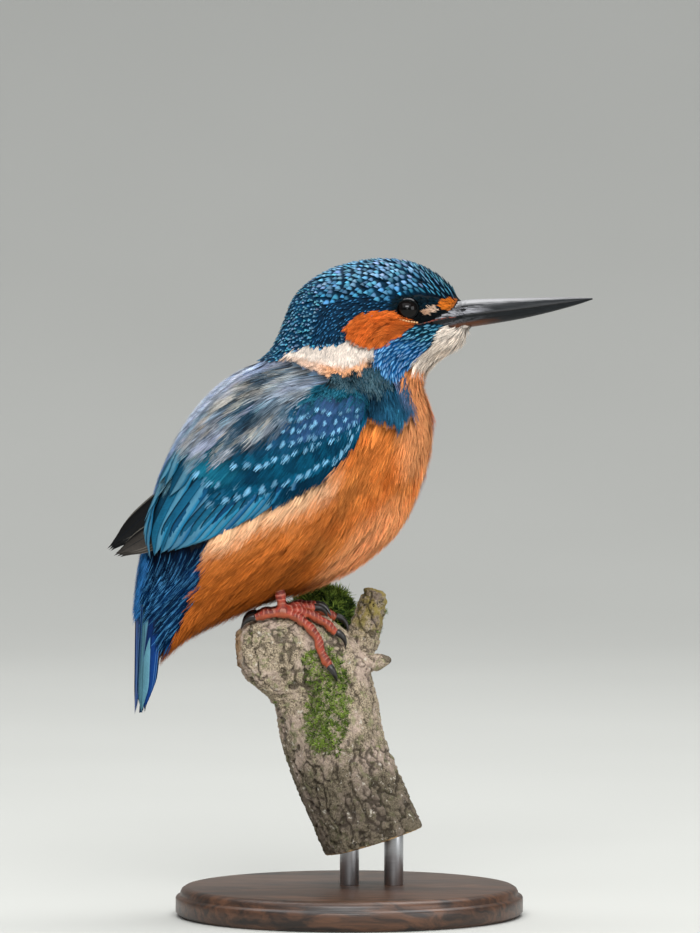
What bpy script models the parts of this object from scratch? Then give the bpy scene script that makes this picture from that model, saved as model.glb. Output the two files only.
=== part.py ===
"""A common kingfisher, still and life-size, on a short cut limb held by a plain stand.

Metres, +Z up, origin in the middle under the stand. The bird faces +X and its right side
is towards -Y. Every size below is in millimetres in the bird's own frame, whose origin is
between the feet on top of the limb; world() turns such a point into metres in the scene.

The body is one loft of oval sections that fan round the throat from bill to tail tip,
parted by thin cuts into head, neck, trunk and tail. The wings drape over its sides and
the toes follow the bark, so both are worked out from the surfaces that they lie on.
"""

import math
from collections import namedtuple

import bmesh
import bpy
import numpy as np
from mathutils import Vector
from mathutils.bvhtree import BVHTree

MM = 0.001
GAP = 0.3  # between pieces that touch
FAR = 100.0  # well outside the bird, where a sight line starts
WELD = 0.00001  # metres within which a curve's caps join its wall
MIDDLE_X = 13.35  # halfway between wing tips and bill tip
FEET_HEIGHT = 80.0  # top of the limb above the floor

# One oval section of the body: where it meets the back and the belly outline, and its
# half width near each.
Section = namedtuple("Section", "back_x back_z belly_x belly_z back_width belly_width")
BODY = [
    Section(44.6, 85.2, 46.2, 80.4, 3.4, 3.4),  # inside the bill's root
    Section(40.0, 91.4, 43.8, 74.0, 7.6, 7.0),  # forehead and chin
    Section(31.5, 96.5, 38.4, 70.5, 10.4, 9.6),  # just before the eye
    Section(20.0, 98.2, 35.2, 67.0, 12.8, 12.0),  # crown and throat
    Section(8.3, 95.8, 33.9, 64.4, 13.4, 13.8),
    Section(-1.5, 89.2, 34.4, 61.4, 13.8, 15.2),  # nape
    Section(-5.6, 80.0, 35.4, 57.6, 14.6, 16.8),
    Section(-9.5, 72.3, 36.1, 52.0, 16.6, 18.2),  # shoulders
    Section(-19.5, 66.0, 35.2, 43.5, 18.4, 19.2),
    Section(-29.2, 56.6, 32.2, 34.0, 19.2, 19.6),  # broadest
    Section(-35.8, 46.0, 26.8, 23.6, 18.8, 18.6),
    Section(-39.6, 35.0, 16.0, 14.6, 17.2, 16.4),
    Section(-42.2, 24.0, 1.5, 7.6, 14.8, 13.6),  # rump and lower belly
    Section(-44.2, 13.0, -13.0, 3.4, 12.2, 11.2),
    Section(-45.2, 2.0, -28.0, -3.5, 10.0, 9.4),  # tail coverts
    Section(-44.8, -8.0, -37.4, -10.5, 8.8, 8.6),
    Section(-44.0, -18.0, -41.2, -18.8, 9.4, 9.4),
    Section(-43.3, -25.2, -42.6, -25.3, 7.2, 7.2),  # tail tip
]
BODY_SIDES = 24
NODES_OF_BODY = {"head": (0, 4.5), "neck": (4.5, 6.9), "trunk": (6.9, 14.6), "tail": (14.6, 17)}
RINGS_PER_SECTION = 2

# One cut across the bill: its place, ridge, mouth line, keel and half width.
BillCut = namedtuple("BillCut", "x ridge mouth keel width")
BILL = [
    BillCut(37.0, 85.3, 80.9, 77.9, 5.2),
    BillCut(44.0, 86.4, 82.0, 78.8, 4.5),
    BillCut(52.0, 86.8, 83.1, 80.0, 3.5),
    BillCut(60.0, 87.0, 84.1, 81.4, 2.7),
    BillCut(68.0, 87.2, 85.2, 83.3, 1.9),
    BillCut(75.0, 87.2, 86.2, 85.2, 1.0),
    BillCut(78.9, 87.05, 86.75, 86.5, 0.3),
]
BILL_SIDES = 8
BILL_RINGS = 12
BILL_ROOF = 1.3  # over 1 draws the ridge and keel to an edge

EYE_X, EYE_Z, EYE_RADIUS, EYE_DEPTH = 28.9, 84.1, 3.6, 2.6

# The folded wing in side view: its lower and upper edge from wrist to tip of the arm.
WING_LOWER = [(17.6, 56.5), (15.4, 47.6), (8.2, 38.9), (-3.5, 32.9), (-15.5, 27.6), (-28.5, 21.0)]
WING_LOWER += [(-41.4, 18.8)]
WING_UPPER = [(17.9, 59.6), (12.5, 66.4), (-1.0, 69.4), (-15.5, 65.0), (-28.0, 54.0), (-37.0, 40.4)]
WING_UPPER += [(-43.4, 25.6)]
PRIMARY_LOWER = [(-41.8, 18.6), (-46.0, 17.6), (-50.6, 17.4)]
PRIMARY_UPPER = [(-43.9, 25.2), (-47.6, 22.6), (-52.2, 18.7)]
WING_STEPS, WING_ROWS = 18, 9
PRIMARY_STEPS, PRIMARY_ROWS = 6, 4
WING_RIM, WING_SWELL, WING_CLEARANCE = 0.7, 2.4, 0.3
SWELL_START, SWELL_SPAN, SWELL_ROUND = 0.12, 0.66, 0.6  # along the wing in half turns; across it
PRIMARY_RIM, PRIMARY_SWELL = 0.6, 0.6
BACK_SPREAD = 5.0  # least distance of a wing from the middle plane

# The feet: ankle, and the plan of each toe from the ankle as (forward, outward) steps.
ANKLE_X, ANKLE_Y = -4.6, 6.8
LEG_TOP, LEG_LEAN, SOCKET_DEPTH = 10.0, 1.0, 1.5  # height of its end, its lean back, room above
FOOT_TURN = {"right": math.radians(9), "left": math.radians(0)}  # toes turned inward
TOES = {
    "inner": [(0.0, 0.0), (3.2, -1.4), (6.4, -2.4), (9.0, -2.9)],
    "middle": [(0.0, 0.0), (4.6, 0.0), (9.6, 0.2), (14.2, 0.6)],
    "outer": [(0.0, 0.0), (4.2, 1.4), (8.4, 2.4), (12.2, 3.2)],
    "hind": [(0.0, 0.0), (-2.6, -0.4), (-5.0, -1.0), (-7.2, -1.4)],
}
TOE_BASE, TOE_TIP, TARSUS = 1.6, 1.3, 1.5
TOE_POINTS = 7
CLAW_BASE, CLAW_TIP, CLAW_REACH, CLAW_TURN = 0.85, 0.15, 5.0, math.radians(85)
CLAW_POINTS, CLAW_SIDES = 6, 8

# The limb bends over from its sawn lower end, under the feet, to a broken end behind them.
# One oval cut across it: its upper and lower outline, half width and sideways shift.
LimbCut = namedtuple("LimbCut", "top_x top_z under_x under_z width shift")
LIMB = [
    LimbCut(-17.0, -4.5, -16.4, -12.4, 5.0, -1.0),  # broken end
    LimbCut(-15.6, -1.2, -14.8, -16.2, 8.6, -0.8),
    LimbCut(-11.5, 1.3, -12.0, -19.0, 10.4, -0.5),
    LimbCut(-4.5, 2.8, -9.4, -21.2, 11.4, 0.2),
    LimbCut(4.0, 2.4, -7.6, -23.4, 12.0, 2.0),  # under the feet
    LimbCut(11.5, -1.4, -6.6, -25.8, 12.6, 4.0),
    LimbCut(17.4, -8.0, -6.0, -28.8, 13.0, 4.8),
    LimbCut(20.2, -17.0, -5.2, -33.4, 13.4, 4.8),
    LimbCut(22.4, -28.6, -3.2, -41.0, 13.8, 4.0),
    LimbCut(27.2, -43.0, 1.0, -52.4, 14.2, 3.0),
    LimbCut(33.2, -56.0, 6.4, -64.0, 14.6, 2.0),  # sawn end
]
LIMB_SIDES, LIMB_RINGS_PER_CUT = 24, 2
LIMB_RIDGES = ((3, 0.03, 0.8), (7, 0.014, 1.7))  # how many, how deep as a share, twist a cut

# The knob and the thorn on it: middle line and radius.
KNOB = [(13.0, 9.0, -14.0, 6.0), (16.6, 9.8, -6.0, 5.0), (18.8, 10.4, 0.0, 4.3), (20.0, 10.8, 5.0, 4.1)]
KNOB += [(20.3, 10.9, 7.2, 3.2), (20.5, 11.0, 8.0, 1.4)]
THORN = [(15.0, 2.0, -12.4, 4.6), (20.6, 1.0, -11.4, 2.4), (24.3, 0.4, -10.8, 0.5)]
TWIG_SIDES = 12

BASE_RADIUS, BASE_HEIGHT, BASE_EDGE, BASE_SIDES = 47.0, 8.0, 1.4, 48
ROD_RADIUS, ROD_SIDES = 2.6, 16
ROD_XS = (13.4, 25.4)
ROD_Y = 2.0
ROD_TOP = 30.0  # above the floor

Finish = namedtuple("Finish", "colour roughness metallic")
FINISHES = {
    "crown": Finish((0.012, 0.085, 0.16), 0.45, 0.0),
    "breast": Finish((0.62, 0.2, 0.035), 0.8, 0.0),
    "back": Finish((0.03, 0.2, 0.42), 0.5, 0.0),
    "wing": Finish((0.01, 0.13, 0.22), 0.5, 0.0),
    "primary": Finish((0.02, 0.02, 0.024), 0.55, 0.0),
    "tail": Finish((0.01, 0.06, 0.33), 0.45, 0.0),
    "bill": Finish((0.015, 0.015, 0.017), 0.35, 0.0),
    "eye": Finish((0.006, 0.004, 0.004), 0.05, 0.0),
    "foot": Finish((0.5, 0.1, 0.045), 0.5, 0.0),
    "claw": Finish((0.012, 0.012, 0.013), 0.3, 0.0),
    "bark": Finish((0.2, 0.16, 0.11), 0.9, 0.0),
    "base": Finish((0.05, 0.03, 0.02), 0.45, 0.0),
    "rod": Finish((0.55, 0.55, 0.56), 0.3, 1.0),
}


def world(point):
    """A point of the bird's frame in millimetres, as metres in the scene."""
    return Vector(((point[0] - MIDDLE_X) * MM, point[1] * MM, (point[2] + FEET_HEIGHT) * MM))


def along(rows, t):
    """The Catmull-Rom curve through rows of numbers, at t in steps of one row."""
    rows = np.asarray(rows, dtype=float)
    start = min(max(int(math.floor(t)), 0), len(rows) - 2)
    u = t - start
    before = rows[start - 1] if start > 0 else 2 * rows[0] - rows[1]
    after = rows[start + 2] if start + 2 < len(rows) else 2 * rows[-1] - rows[-2]
    near, far = rows[start], rows[start + 1]
    return 0.5 * (
        2 * near
        + (far - before) * u
        + (2 * before - 5 * near + 4 * far - after) * u * u
        + (3 * near - before - 3 * far + after) * u * u * u
    )


def material(name):
    """The Principled material of one finish, made once."""
    made = bpy.data.materials.get(name)
    if made:
        return made
    made = bpy.data.materials.new(name)
    made.use_nodes = True
    shader = made.node_tree.nodes["Principled BSDF"]
    finish = FINISHES[name]
    shader.inputs["Base Color"].default_value = (*finish.colour, 1.0)
    shader.inputs["Roughness"].default_value = finish.roughness
    shader.inputs["Metallic"].default_value = finish.metallic
    made.diffuse_color = (*finish.colour, 1.0)
    return made


def add(name, mesh, finish, collection):
    """A new object of this mesh, smooth but for its sharp edges."""
    obj = bpy.data.objects.new(name, mesh)
    collection.objects.link(obj)
    if finish:
        mesh.materials.clear()
        mesh.materials.append(material(finish))
    mesh.shade_smooth()
    mesh.set_sharp_from_angle(angle=math.radians(50))
    return obj


def add_cutter(name, mesh, cutters):
    """A helper that cuts or joins another object and isn't itself a part."""
    obj = add(name, mesh, None, cutters)
    obj.hide_render = True
    obj.display_type = "WIRE"
    return obj


def combine(obj, other, operation):
    """An exact Boolean modifier of obj with other."""
    modifier = obj.modifiers.new(operation.title(), "BOOLEAN")
    modifier.operation = operation
    modifier.solver = "EXACT"
    modifier.object = other


def loft(name, rings):
    """A closed mesh through rings of equally many points, each ring closed by a cap."""
    mesh = bpy.data.meshes.new(name)
    shape = bmesh.new()
    loops = [[shape.verts.new(world(point)) for point in ring] for ring in rings]
    for near, far in zip(loops, loops[1:]):
        for i in range(len(near)):
            j = (i + 1) % len(near)
            shape.faces.new((near[i], near[j], far[j], far[i]))
    shape.faces.new(loops[0])
    shape.faces.new(reversed(loops[-1]))
    bmesh.ops.recalc_face_normals(shape, faces=shape.faces)
    shape.to_mesh(mesh)
    shape.free()
    return mesh


def body_ring(t):
    """The oval section of the body at t, as points round it from the back."""
    back_x, back_z, belly_x, belly_z, back_width, belly_width = along(BODY, t)
    ring = []
    for i in range(BODY_SIDES):
        angle = 2 * math.pi * i / BODY_SIDES
        down = (1 - math.cos(angle)) / 2
        blend = down * down * (3 - 2 * down)
        width = back_width + (belly_width - back_width) * blend
        x = back_x + (belly_x - back_x) * down
        z = back_z + (belly_z - back_z) * down
        ring.append((x, width * math.sin(angle), z))
    return ring


def body_mesh(name, start, end):
    """The length of the body between two sections, short of each inner cut by half a gap."""
    count = max(2, round((end - start) * RINGS_PER_SECTION))
    rings = [body_ring(start + (end - start) * i / count) for i in range(count + 1)]
    if start > 0:
        rings[0] = moved_along_body(rings[0], start, GAP / 2)
    if end < len(BODY) - 1:
        rings[-1] = moved_along_body(rings[-1], end, -GAP / 2)
    return loft(name, rings)


def moved_along_body(ring, t, distance):
    """A section moved square to its own plane, towards the tail if distance is over zero."""
    back_x, back_z, belly_x, belly_z = along(BODY, t)[:4]
    length = math.hypot(belly_x - back_x, belly_z - back_z)
    step_x = (belly_z - back_z) / length * distance
    step_z = (back_x - belly_x) / length * distance
    return [(x + step_x, y, z + step_z) for x, y, z in ring]


def make_body(parts):
    """Head, neck, trunk and tail, parted by thin cuts."""
    looks = {"head": "crown", "neck": "crown", "trunk": "breast", "tail": "tail"}
    return {
        name: add(name, body_mesh(name, start, end), looks[name], parts)
        for name, (start, end) in NODES_OF_BODY.items()
    }


def bill_mesh(name, edge, grow=0.0):
    """One mandible, roofed from the mouth line up to the ridge or down to the keel."""
    rings = []
    sign = 1 if edge == "ridge" else -1
    for i in range(BILL_RINGS + 1):
        cut = BillCut(*along(BILL, (len(BILL) - 1) * i / BILL_RINGS))
        height = abs(getattr(cut, edge) - cut.mouth) - GAP / 4 + 2 * grow
        floor = cut.mouth + sign * (GAP / 4 - grow)
        ring = []
        for k in range(BILL_SIDES + 1):
            angle = math.pi * k / BILL_SIDES
            rise = height * math.sin(angle) ** BILL_ROOF
            x = cut.x - grow if i == 0 else cut.x
            ring.append((x, (cut.width + grow) * math.cos(angle), floor + sign * rise))
        rings.append(ring)
    return loft(name, rings)


def make_bill(parts, cutters, head):
    """Both mandibles, and the socket in the head that they sit in."""
    for name, edge in (("bill_upper", "ridge"), ("bill_lower", "keel")):
        add(name, bill_mesh(name, edge), "bill", parts)
        combine(head, add_cutter(name + "_socket", bill_mesh(name, edge, GAP), cutters), "DIFFERENCE")


def ball(name, centre, radius):
    """A sphere."""
    mesh = bpy.data.meshes.new(name)
    shape = bmesh.new()
    bmesh.ops.create_uvsphere(shape, u_segments=18, v_segments=12, radius=radius * MM)
    bmesh.ops.translate(shape, verts=shape.verts, vec=world(centre))
    shape.to_mesh(mesh)
    shape.free()
    return mesh


def make_eyes(parts, cutters, head, surface):
    """The two eyes, as deep under the side of the head as EYE_DEPTH says."""
    for name, side in (("eye_right", -1), ("eye_left", 1)):
        flank = side_of(surface, EYE_X, EYE_Z)
        centre = (EYE_X, side * (flank - EYE_DEPTH), EYE_Z)
        add(name, ball(name, centre, EYE_RADIUS), "eye", parts)
        socket = add_cutter(name + "_socket", ball(name, centre, EYE_RADIUS + GAP), cutters)
        combine(head, socket, "DIFFERENCE")


def tree_of(meshes):
    """A search tree of the faces of these meshes."""
    points, faces = [], []
    for mesh in meshes:
        first = len(points)
        points += [vertex.co.copy() for vertex in mesh.vertices]
        faces += [[first + i for i in face.vertices] for face in mesh.polygons]
    return BVHTree.FromPolygons(points, faces)


def side_of(surface, x, z):
    """How far the body's side is from the middle plane at this place in side view."""
    hit = surface.ray_cast(world((x, -FAR, z)), Vector((0, 1, 0)))[0]
    return -hit.y / MM if hit else 0.0


def wing_mesh(name, side, lower, upper, steps, rows, rim, swell, surface):
    """A lens-shaped plate between two edges, draped over the side of the body."""
    inner, outer = [], []
    for i in range(steps + 1):
        t = (len(lower) - 1) * i / steps
        low, high = along(lower, t), along(upper, t)
        inner_row, outer_row = [], []
        for k in range(rows + 1):
            share = k / rows
            x, z = low + (high - low) * share
            skin = math.hypot(side_of(surface, x, z), BACK_SPREAD) + WING_CLEARANCE
            crown = (4 * share * (1 - share)) ** SWELL_ROUND
            crown *= math.sin(math.pi * (SWELL_START + SWELL_SPAN * i / steps))
            inner_row.append((x, side * skin, z))
            outer_row.append((x, side * (skin + rim + swell * crown), z))
        inner.append(inner_row)
        outer.append(outer_row)
    rings = [a + b[::-1] for a, b in zip(inner, outer)]
    return loft(name, rings)


def make_wings(parts, surface):
    """Both wings, each an arm with its coverts and the primaries that stand out behind."""
    for name, side in (("right", -1), ("left", 1)):
        arm = wing_mesh("wing_" + name, side, WING_LOWER, WING_UPPER, WING_STEPS, WING_ROWS,
                        WING_RIM, WING_SWELL, surface)
        add("wing_" + name, arm, "wing", parts)
        tips = wing_mesh("primaries_" + name, side, PRIMARY_LOWER, PRIMARY_UPPER, PRIMARY_STEPS,
                         PRIMARY_ROWS, PRIMARY_RIM, PRIMARY_SWELL, surface)
        add("primaries_" + name, tips, "primary", parts)


def limb_ring(t):
    """The cut across the limb at t, with its ridges."""
    top_x, top_z, under_x, under_z, width, shift = along(LIMB, t)
    ring = []
    for i in range(LIMB_SIDES):
        angle = 2 * math.pi * i / LIMB_SIDES
        reach = 1 + sum(depth * math.sin(count * angle + twist * t) for count, depth, twist in LIMB_RIDGES)
        down = (1 - reach * math.cos(angle)) / 2
        x = top_x + (under_x - top_x) * down
        z = top_z + (under_z - top_z) * down
        ring.append((x, shift + reach * width * math.sin(angle), z))
    return ring


def twig_mesh(name, line):
    """A tapering round twig along a line of points with radii."""
    return tube_mesh(name, [world(point[:3]) for point in line], [point[3] for point in line], TWIG_SIDES)


def make_perch(parts, cutters):
    """The cut limb with its knob and thorn, drilled from below for the rods.

    Returns a search tree of its bark.
    """
    count = (len(LIMB) - 1) * LIMB_RINGS_PER_CUT
    rings = [limb_ring(i / LIMB_RINGS_PER_CUT) for i in range(count + 1)]
    limb = add("perch_limb", loft("perch_limb", rings), "bark", parts)
    for name, line in (("perch_knob", KNOB), ("perch_thorn", THORN)):
        combine(limb, add_cutter(name, twig_mesh(name, line), cutters), "UNION")
    for i, x in enumerate(ROD_XS):
        name = f"rod_hole_{i + 1}"
        hole = upright_mesh(name, x, ROD_Y, BASE_HEIGHT, ROD_TOP + GAP, ROD_RADIUS + GAP, ROD_SIDES)
        combine(limb, add_cutter(name, hole, cutters), "DIFFERENCE")
    return BVHTree.FromObject(limb, bpy.context.evaluated_depsgraph_get())


def upright_mesh(name, x, y, low, high, radius, sides):
    """An upright round bar or disc between two heights above the floor."""
    mesh = bpy.data.meshes.new(name)
    shape = bmesh.new()
    bmesh.ops.create_cone(shape, cap_ends=True, segments=sides, radius1=radius * MM,
                          radius2=radius * MM, depth=(high - low) * MM)
    middle = world((x, y, (low + high) / 2 - FEET_HEIGHT))
    bmesh.ops.translate(shape, verts=shape.verts, vec=middle)
    shape.to_mesh(mesh)
    shape.free()
    return mesh


def make_stand(parts):
    """The flat round base and the two short rods that hold the limb."""
    mesh = upright_mesh("stand_base", MIDDLE_X, 0.0, 0.0, BASE_HEIGHT, BASE_RADIUS, BASE_SIDES)
    base = add("stand_base", mesh, "base", parts)
    edge = base.modifiers.new("Edge", "BEVEL")
    edge.width = BASE_EDGE * MM
    edge.segments = 2
    for i, x in enumerate(ROD_XS):
        name = f"stand_rod_{i + 1}"
        mesh = upright_mesh(name, x, ROD_Y, BASE_HEIGHT + GAP, ROD_TOP, ROD_RADIUS, ROD_SIDES)
        add(name, mesh, "rod", parts)


def lie_on(bark, x, y, distance):
    """The point that rests this far above the bark over (x, y)."""
    hit = bark.ray_cast(world((x, y, FAR)), Vector((0, 0, -1)))[0]
    above = hit + Vector((0, 0, distance * MM))
    nearest = bark.find_nearest(above)[0]
    return nearest + (above - nearest).normalized() * distance * MM


def tube_mesh(name, points, radii, sides=8):
    """A round closed tube through world points, from a curve with filled caps."""
    curve = bpy.data.curves.new(name, "CURVE")
    curve.dimensions = "3D"
    curve.bevel_depth = 1.0
    curve.bevel_resolution = sides // 4
    curve.use_fill_caps = True
    spline = curve.splines.new("POLY")
    spline.points.add(len(points) - 1)
    for spot, point, radius in zip(spline.points, points, radii):
        spot.co = (*point, 1.0)
        spot.radius = radius * MM
    guide = bpy.data.objects.new(name, curve)
    bpy.context.scene.collection.objects.link(guide)
    graph = bpy.context.evaluated_depsgraph_get()
    mesh = bpy.data.meshes.new_from_object(guide.evaluated_get(graph))
    bpy.data.objects.remove(guide)
    shape = bmesh.new()
    shape.from_mesh(mesh)
    bmesh.ops.remove_doubles(shape, verts=shape.verts, dist=WELD)
    bmesh.ops.recalc_face_normals(shape, faces=shape.faces)
    shape.to_mesh(mesh)
    shape.free()
    return mesh


def toe_line(plan, side, turn, bark):
    """The middle line of one toe on the bark, and its radii."""
    points, radii = [], []
    for i in range(TOE_POINTS):
        share = i / (TOE_POINTS - 1)
        forward, outward = along(plan, (len(plan) - 1) * share)
        radius = TOE_BASE + (TOE_TIP - TOE_BASE) * share
        x = ANKLE_X + forward * math.cos(turn) + outward * math.sin(turn)
        y = side * (ANKLE_Y + outward * math.cos(turn) - forward * math.sin(turn))
        points.append(lie_on(bark, x, y, radius + GAP))
        radii.append(radius)
    return points, radii


def claw_mesh(name, points, bark):
    """A claw that leaves the toe's end and hooks down against the bark."""
    heading = (points[-1] - points[-3]).normalized()
    nearest = bark.find_nearest(points[-1])[0]
    up = (points[-1] - nearest).normalized()
    up = (up - heading * up.dot(heading)).normalized()
    start = points[-1] + heading * GAP * MM
    bend = CLAW_REACH / CLAW_TURN
    line, radii = [], []
    for i in range(CLAW_POINTS):
        share = i / (CLAW_POINTS - 1)
        turn = CLAW_TURN * share
        radius = CLAW_BASE + (CLAW_TIP - CLAW_BASE) * share
        offset = heading * math.sin(turn) - up * (1 - math.cos(turn))
        spot = start + offset * bend * MM
        line.append(spot if i < 1 else out_of(bark, spot, radius + 2 * GAP))
        radii.append(radius)
    return tube_mesh(name, line, radii, CLAW_SIDES)


def out_of(bark, spot, distance):
    """A world point pushed out of the bark until it is clear by this distance."""
    nearest, normal = bark.find_nearest(spot)[:2]
    outward = spot - nearest
    inside = outward.dot(normal) < 0
    if not inside and outward.length > distance * MM:
        return spot
    return nearest + (normal if inside else outward.normalized()) * distance * MM


def make_feet(parts, cutters, bark, trunk):
    """Each leg is one piece with its toes; the claws are their own."""
    for name, side in (("right", -1), ("left", 1)):
        ankle = lie_on(bark, ANKLE_X, side * ANKLE_Y, TOE_BASE + GAP)
        knee = world((ANKLE_X - LEG_LEAN, side * ANKLE_Y, LEG_TOP))
        shank = tube_mesh("leg", [ankle, (ankle + knee) / 2, knee], [TARSUS] * 3)
        leg = add("leg_" + name, shank, "foot", parts)
        for toe, plan in TOES.items():
            points, radii = toe_line(plan, side, FOOT_TURN[name], bark)
            solid = tube_mesh(toe, points, radii)
            combine(leg, add_cutter(f"toe_{toe}_{name}", solid, cutters), "UNION")
            claw = f"claw_{toe}_{name}"
            add(claw, claw_mesh(claw, points, bark), "claw", parts)
        ceiling = knee + (knee - ankle).normalized() * SOCKET_DEPTH * MM
        socket = tube_mesh("socket", [ankle, (ankle + knee) / 2, ceiling], [TARSUS + 2 * GAP] * 3)
        combine(trunk, add_cutter("leg_socket_" + name, socket, cutters), "DIFFERENCE")


def clear_scene():
    """Removes what the scene holds at the start."""
    for obj in list(bpy.data.objects):
        bpy.data.objects.remove(obj)


def new_collection(name):
    """A collection in the scene."""
    collection = bpy.data.collections.new(name)
    bpy.context.scene.collection.children.link(collection)
    return collection


def main():
    clear_scene()
    parts = new_collection("kingfisher")
    cutters = new_collection("cutters")
    body = make_body(parts)
    surface = tree_of([body_mesh("whole", 0, len(BODY) - 1)])
    make_bill(parts, cutters, body["head"])
    make_eyes(parts, cutters, body["head"], surface)
    make_wings(parts, surface)
    bark = make_perch(parts, cutters)
    make_feet(parts, cutters, bark, body["trunk"])
    make_stand(parts)


main()
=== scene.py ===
"""A life-size common kingfisher on a short cut limb over a plain round stand.

Sizes are millimetres in the bird's own frame: the origin is between the feet on top of the
limb, +X the way the bill points, -Y the bird's right side, +Z up. to_scene() turns them
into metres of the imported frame.

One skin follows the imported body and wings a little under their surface. Every feather is
an instance of a small mesh that one Geometry Nodes tree sets on the skin, bends along it
and makes real. Markings are named shapes in side view, which skin and feathers share.
"""

import itertools
import logging
import math
from dataclasses import dataclass, field
from enum import IntEnum
from typing import Any, Callable, Mapping, Optional, Sequence, Union

import bmesh
import bpy
import numpy as np
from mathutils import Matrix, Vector
from mathutils.bvhtree import BVHTree


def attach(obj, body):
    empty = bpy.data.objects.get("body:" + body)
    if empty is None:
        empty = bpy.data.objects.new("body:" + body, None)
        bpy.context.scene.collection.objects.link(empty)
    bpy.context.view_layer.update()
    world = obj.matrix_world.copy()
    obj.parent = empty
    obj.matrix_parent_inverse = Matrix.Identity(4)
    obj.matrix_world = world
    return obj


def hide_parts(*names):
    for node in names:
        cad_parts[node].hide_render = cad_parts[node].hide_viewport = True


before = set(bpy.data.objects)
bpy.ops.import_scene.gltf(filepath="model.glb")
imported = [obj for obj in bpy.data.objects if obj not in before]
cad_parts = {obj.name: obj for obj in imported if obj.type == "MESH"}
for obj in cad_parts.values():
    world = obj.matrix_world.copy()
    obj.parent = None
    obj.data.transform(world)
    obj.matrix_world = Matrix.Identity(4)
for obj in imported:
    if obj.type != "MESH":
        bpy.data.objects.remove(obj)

Object = bpy.types.Object
Mesh = bpy.types.Mesh
Surface = bpy.types.Material
Array = np.ndarray
Triple = tuple[float, float, float]
Line = Sequence[Sequence[float]]
Faces = list[tuple[int, ...]]
Shell = tuple[Array, Faces]

LOG = logging.getLogger("kingfisher")
MM = 0.001
ORIGIN = np.array((-13.35, 0.0, 80.0))  # the bird's origin over the middle of the stand
BAKE_MAP = "OFBake"
PATCH = 0.003  # side of one feather's patch on the bake map
BODY_NODES = ("head", "neck", "trunk", "tail")
WING_NODES = ("wing_right", "wing_left")
EYE_NODES = ("eye_right", "eye_left")


# -------- measures and meshes


def to_scene(points: Array) -> Array:
    """Turn millimetres of the bird's frame into metres of the scene."""
    return (np.asarray(points, float) + ORIGIN) * MM


def to_bird(points: Array) -> Array:
    """Turn metres of the scene into millimetres of the bird's frame."""
    return np.asarray(points, float) / MM - ORIGIN


def linear(code: str) -> Array:
    """Turn a colour code such as #c8642d into linear red, green and blue, 0 to 1."""
    parts = [int(code[i : i + 2], 16) / 255 for i in (1, 3, 5)]
    return np.array([p / 12.92 if p <= 0.04045 else ((p + 0.055) / 1.055) ** 2.4 for p in parts])


def between(codes: Sequence[str], share: Array) -> Array:
    """Colours from a first code to a second, by a column of shares."""
    return linear(codes[0]) * (1 - share) + linear(codes[1]) * share


def triples(x: Array, y: Array, z: Array) -> Array:
    """Put numbers or arrays of them side by side as rows of three."""
    return np.stack(np.broadcast_arrays(x, y, z), -1)


def smooth(value: Array, low: float, high: float) -> Array:
    """Rise smoothly from 0 where value is low to 1 where it is high."""
    share = np.clip((np.asarray(value, float) - low) / (high - low), 0.0, 1.0)
    return share * share * (3 - 2 * share)


def unit(vectors: Array) -> Array:
    """Scale every vector to a length of one."""
    return vectors / np.maximum(np.linalg.norm(vectors, axis=-1, keepdims=True), 1e-9)


def level_with(vectors: Array, facing: Array) -> Array:
    """Unit vectors that lie in the surfaces with these directions."""
    return unit(vectors - facing * (vectors * facing).sum(1, keepdims=True))


def turns(count: int) -> Array:
    """Angles of places evenly round a circle."""
    return 2 * math.pi * np.arange(count) / count


def polar(rows: int, columns: int, margin: float) -> list[Array]:
    """Angles off a pole and round it, on a grid that ends a margin short of both poles."""
    tips = np.linspace(margin, math.pi - margin, rows)
    return np.meshgrid(tips, turns(columns), indexing="ij")


def noise(points: Array, seed: int) -> Array:
    """Smooth noise on a lattice of unit cells.

    Args:
        points: Places, one row of three each.
        seed: Picks the pattern.

    Returns:
        One value from -1 to 1 for each place.
    """
    cell = np.floor(points).astype(np.int64)
    part = points - cell
    part = part * part * (3 - 2 * part)
    total = np.zeros(len(points))
    for corner in itertools.product((0, 1), repeat=3):
        spot = cell + corner
        key = spot[:, 0] * 73856093 ^ spot[:, 1] * 19349663 ^ spot[:, 2] * 83492791
        key = (key ^ seed * 2654435761) & 0x7FFFFFFF
        key = ((key ^ key >> 13) * 1274126177) & 0x7FFFFFFF
        weight = np.prod(np.where(corner, part, 1 - part), axis=1)
        total += weight * (((key ^ key >> 16) & 0xFFFF) / 32767.5 - 1)
    return total


def curve_at(rows: Line, t: Array) -> Array:
    """Points of the smooth curve through rows of numbers.

    Args:
        rows: Numbers to pass through, a row for each whole step of t.
        t: Places along the curve, in steps of one row.

    Returns:
        A row of numbers for each t.
    """
    rows = np.asarray(rows, float)
    t = np.clip(np.asarray(t, float), 0, len(rows) - 1)
    rows = np.vstack((2 * rows[0] - rows[1], rows, 2 * rows[-1] - rows[-2]))
    start = np.minimum(t.astype(int), len(rows) - 4)
    u = (t - start)[:, None]
    a, b, c, d = (rows[start + i] for i in range(4))
    cubic = (c - a) * u + (2 * a - 5 * b + 4 * c - d) * u**2 + (3 * b - a - 3 * c + d) * u**3
    return b + 0.5 * cubic


def inside(points: Array, outline: Line) -> Array:
    """Tell which side-view places lie within a closed outline.

    Args:
        points: Places as (x, z) rows.
        outline: Corners as (x, z), in order round the shape.

    Returns:
        True for each place that is inside.
    """
    found = np.zeros(len(points), bool)
    corners = np.asarray(outline, float)
    for (x0, z0), (x1, z1) in zip(corners, np.roll(corners, -1, axis=0)):
        crosses = (z0 > points[:, 1]) != (z1 > points[:, 1])
        reach = (x1 - x0) * (points[:, 1] - z0) / ((z1 - z0) or 1e-9) + x0
        found ^= crosses & (points[:, 0] < reach)
    return found


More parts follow.
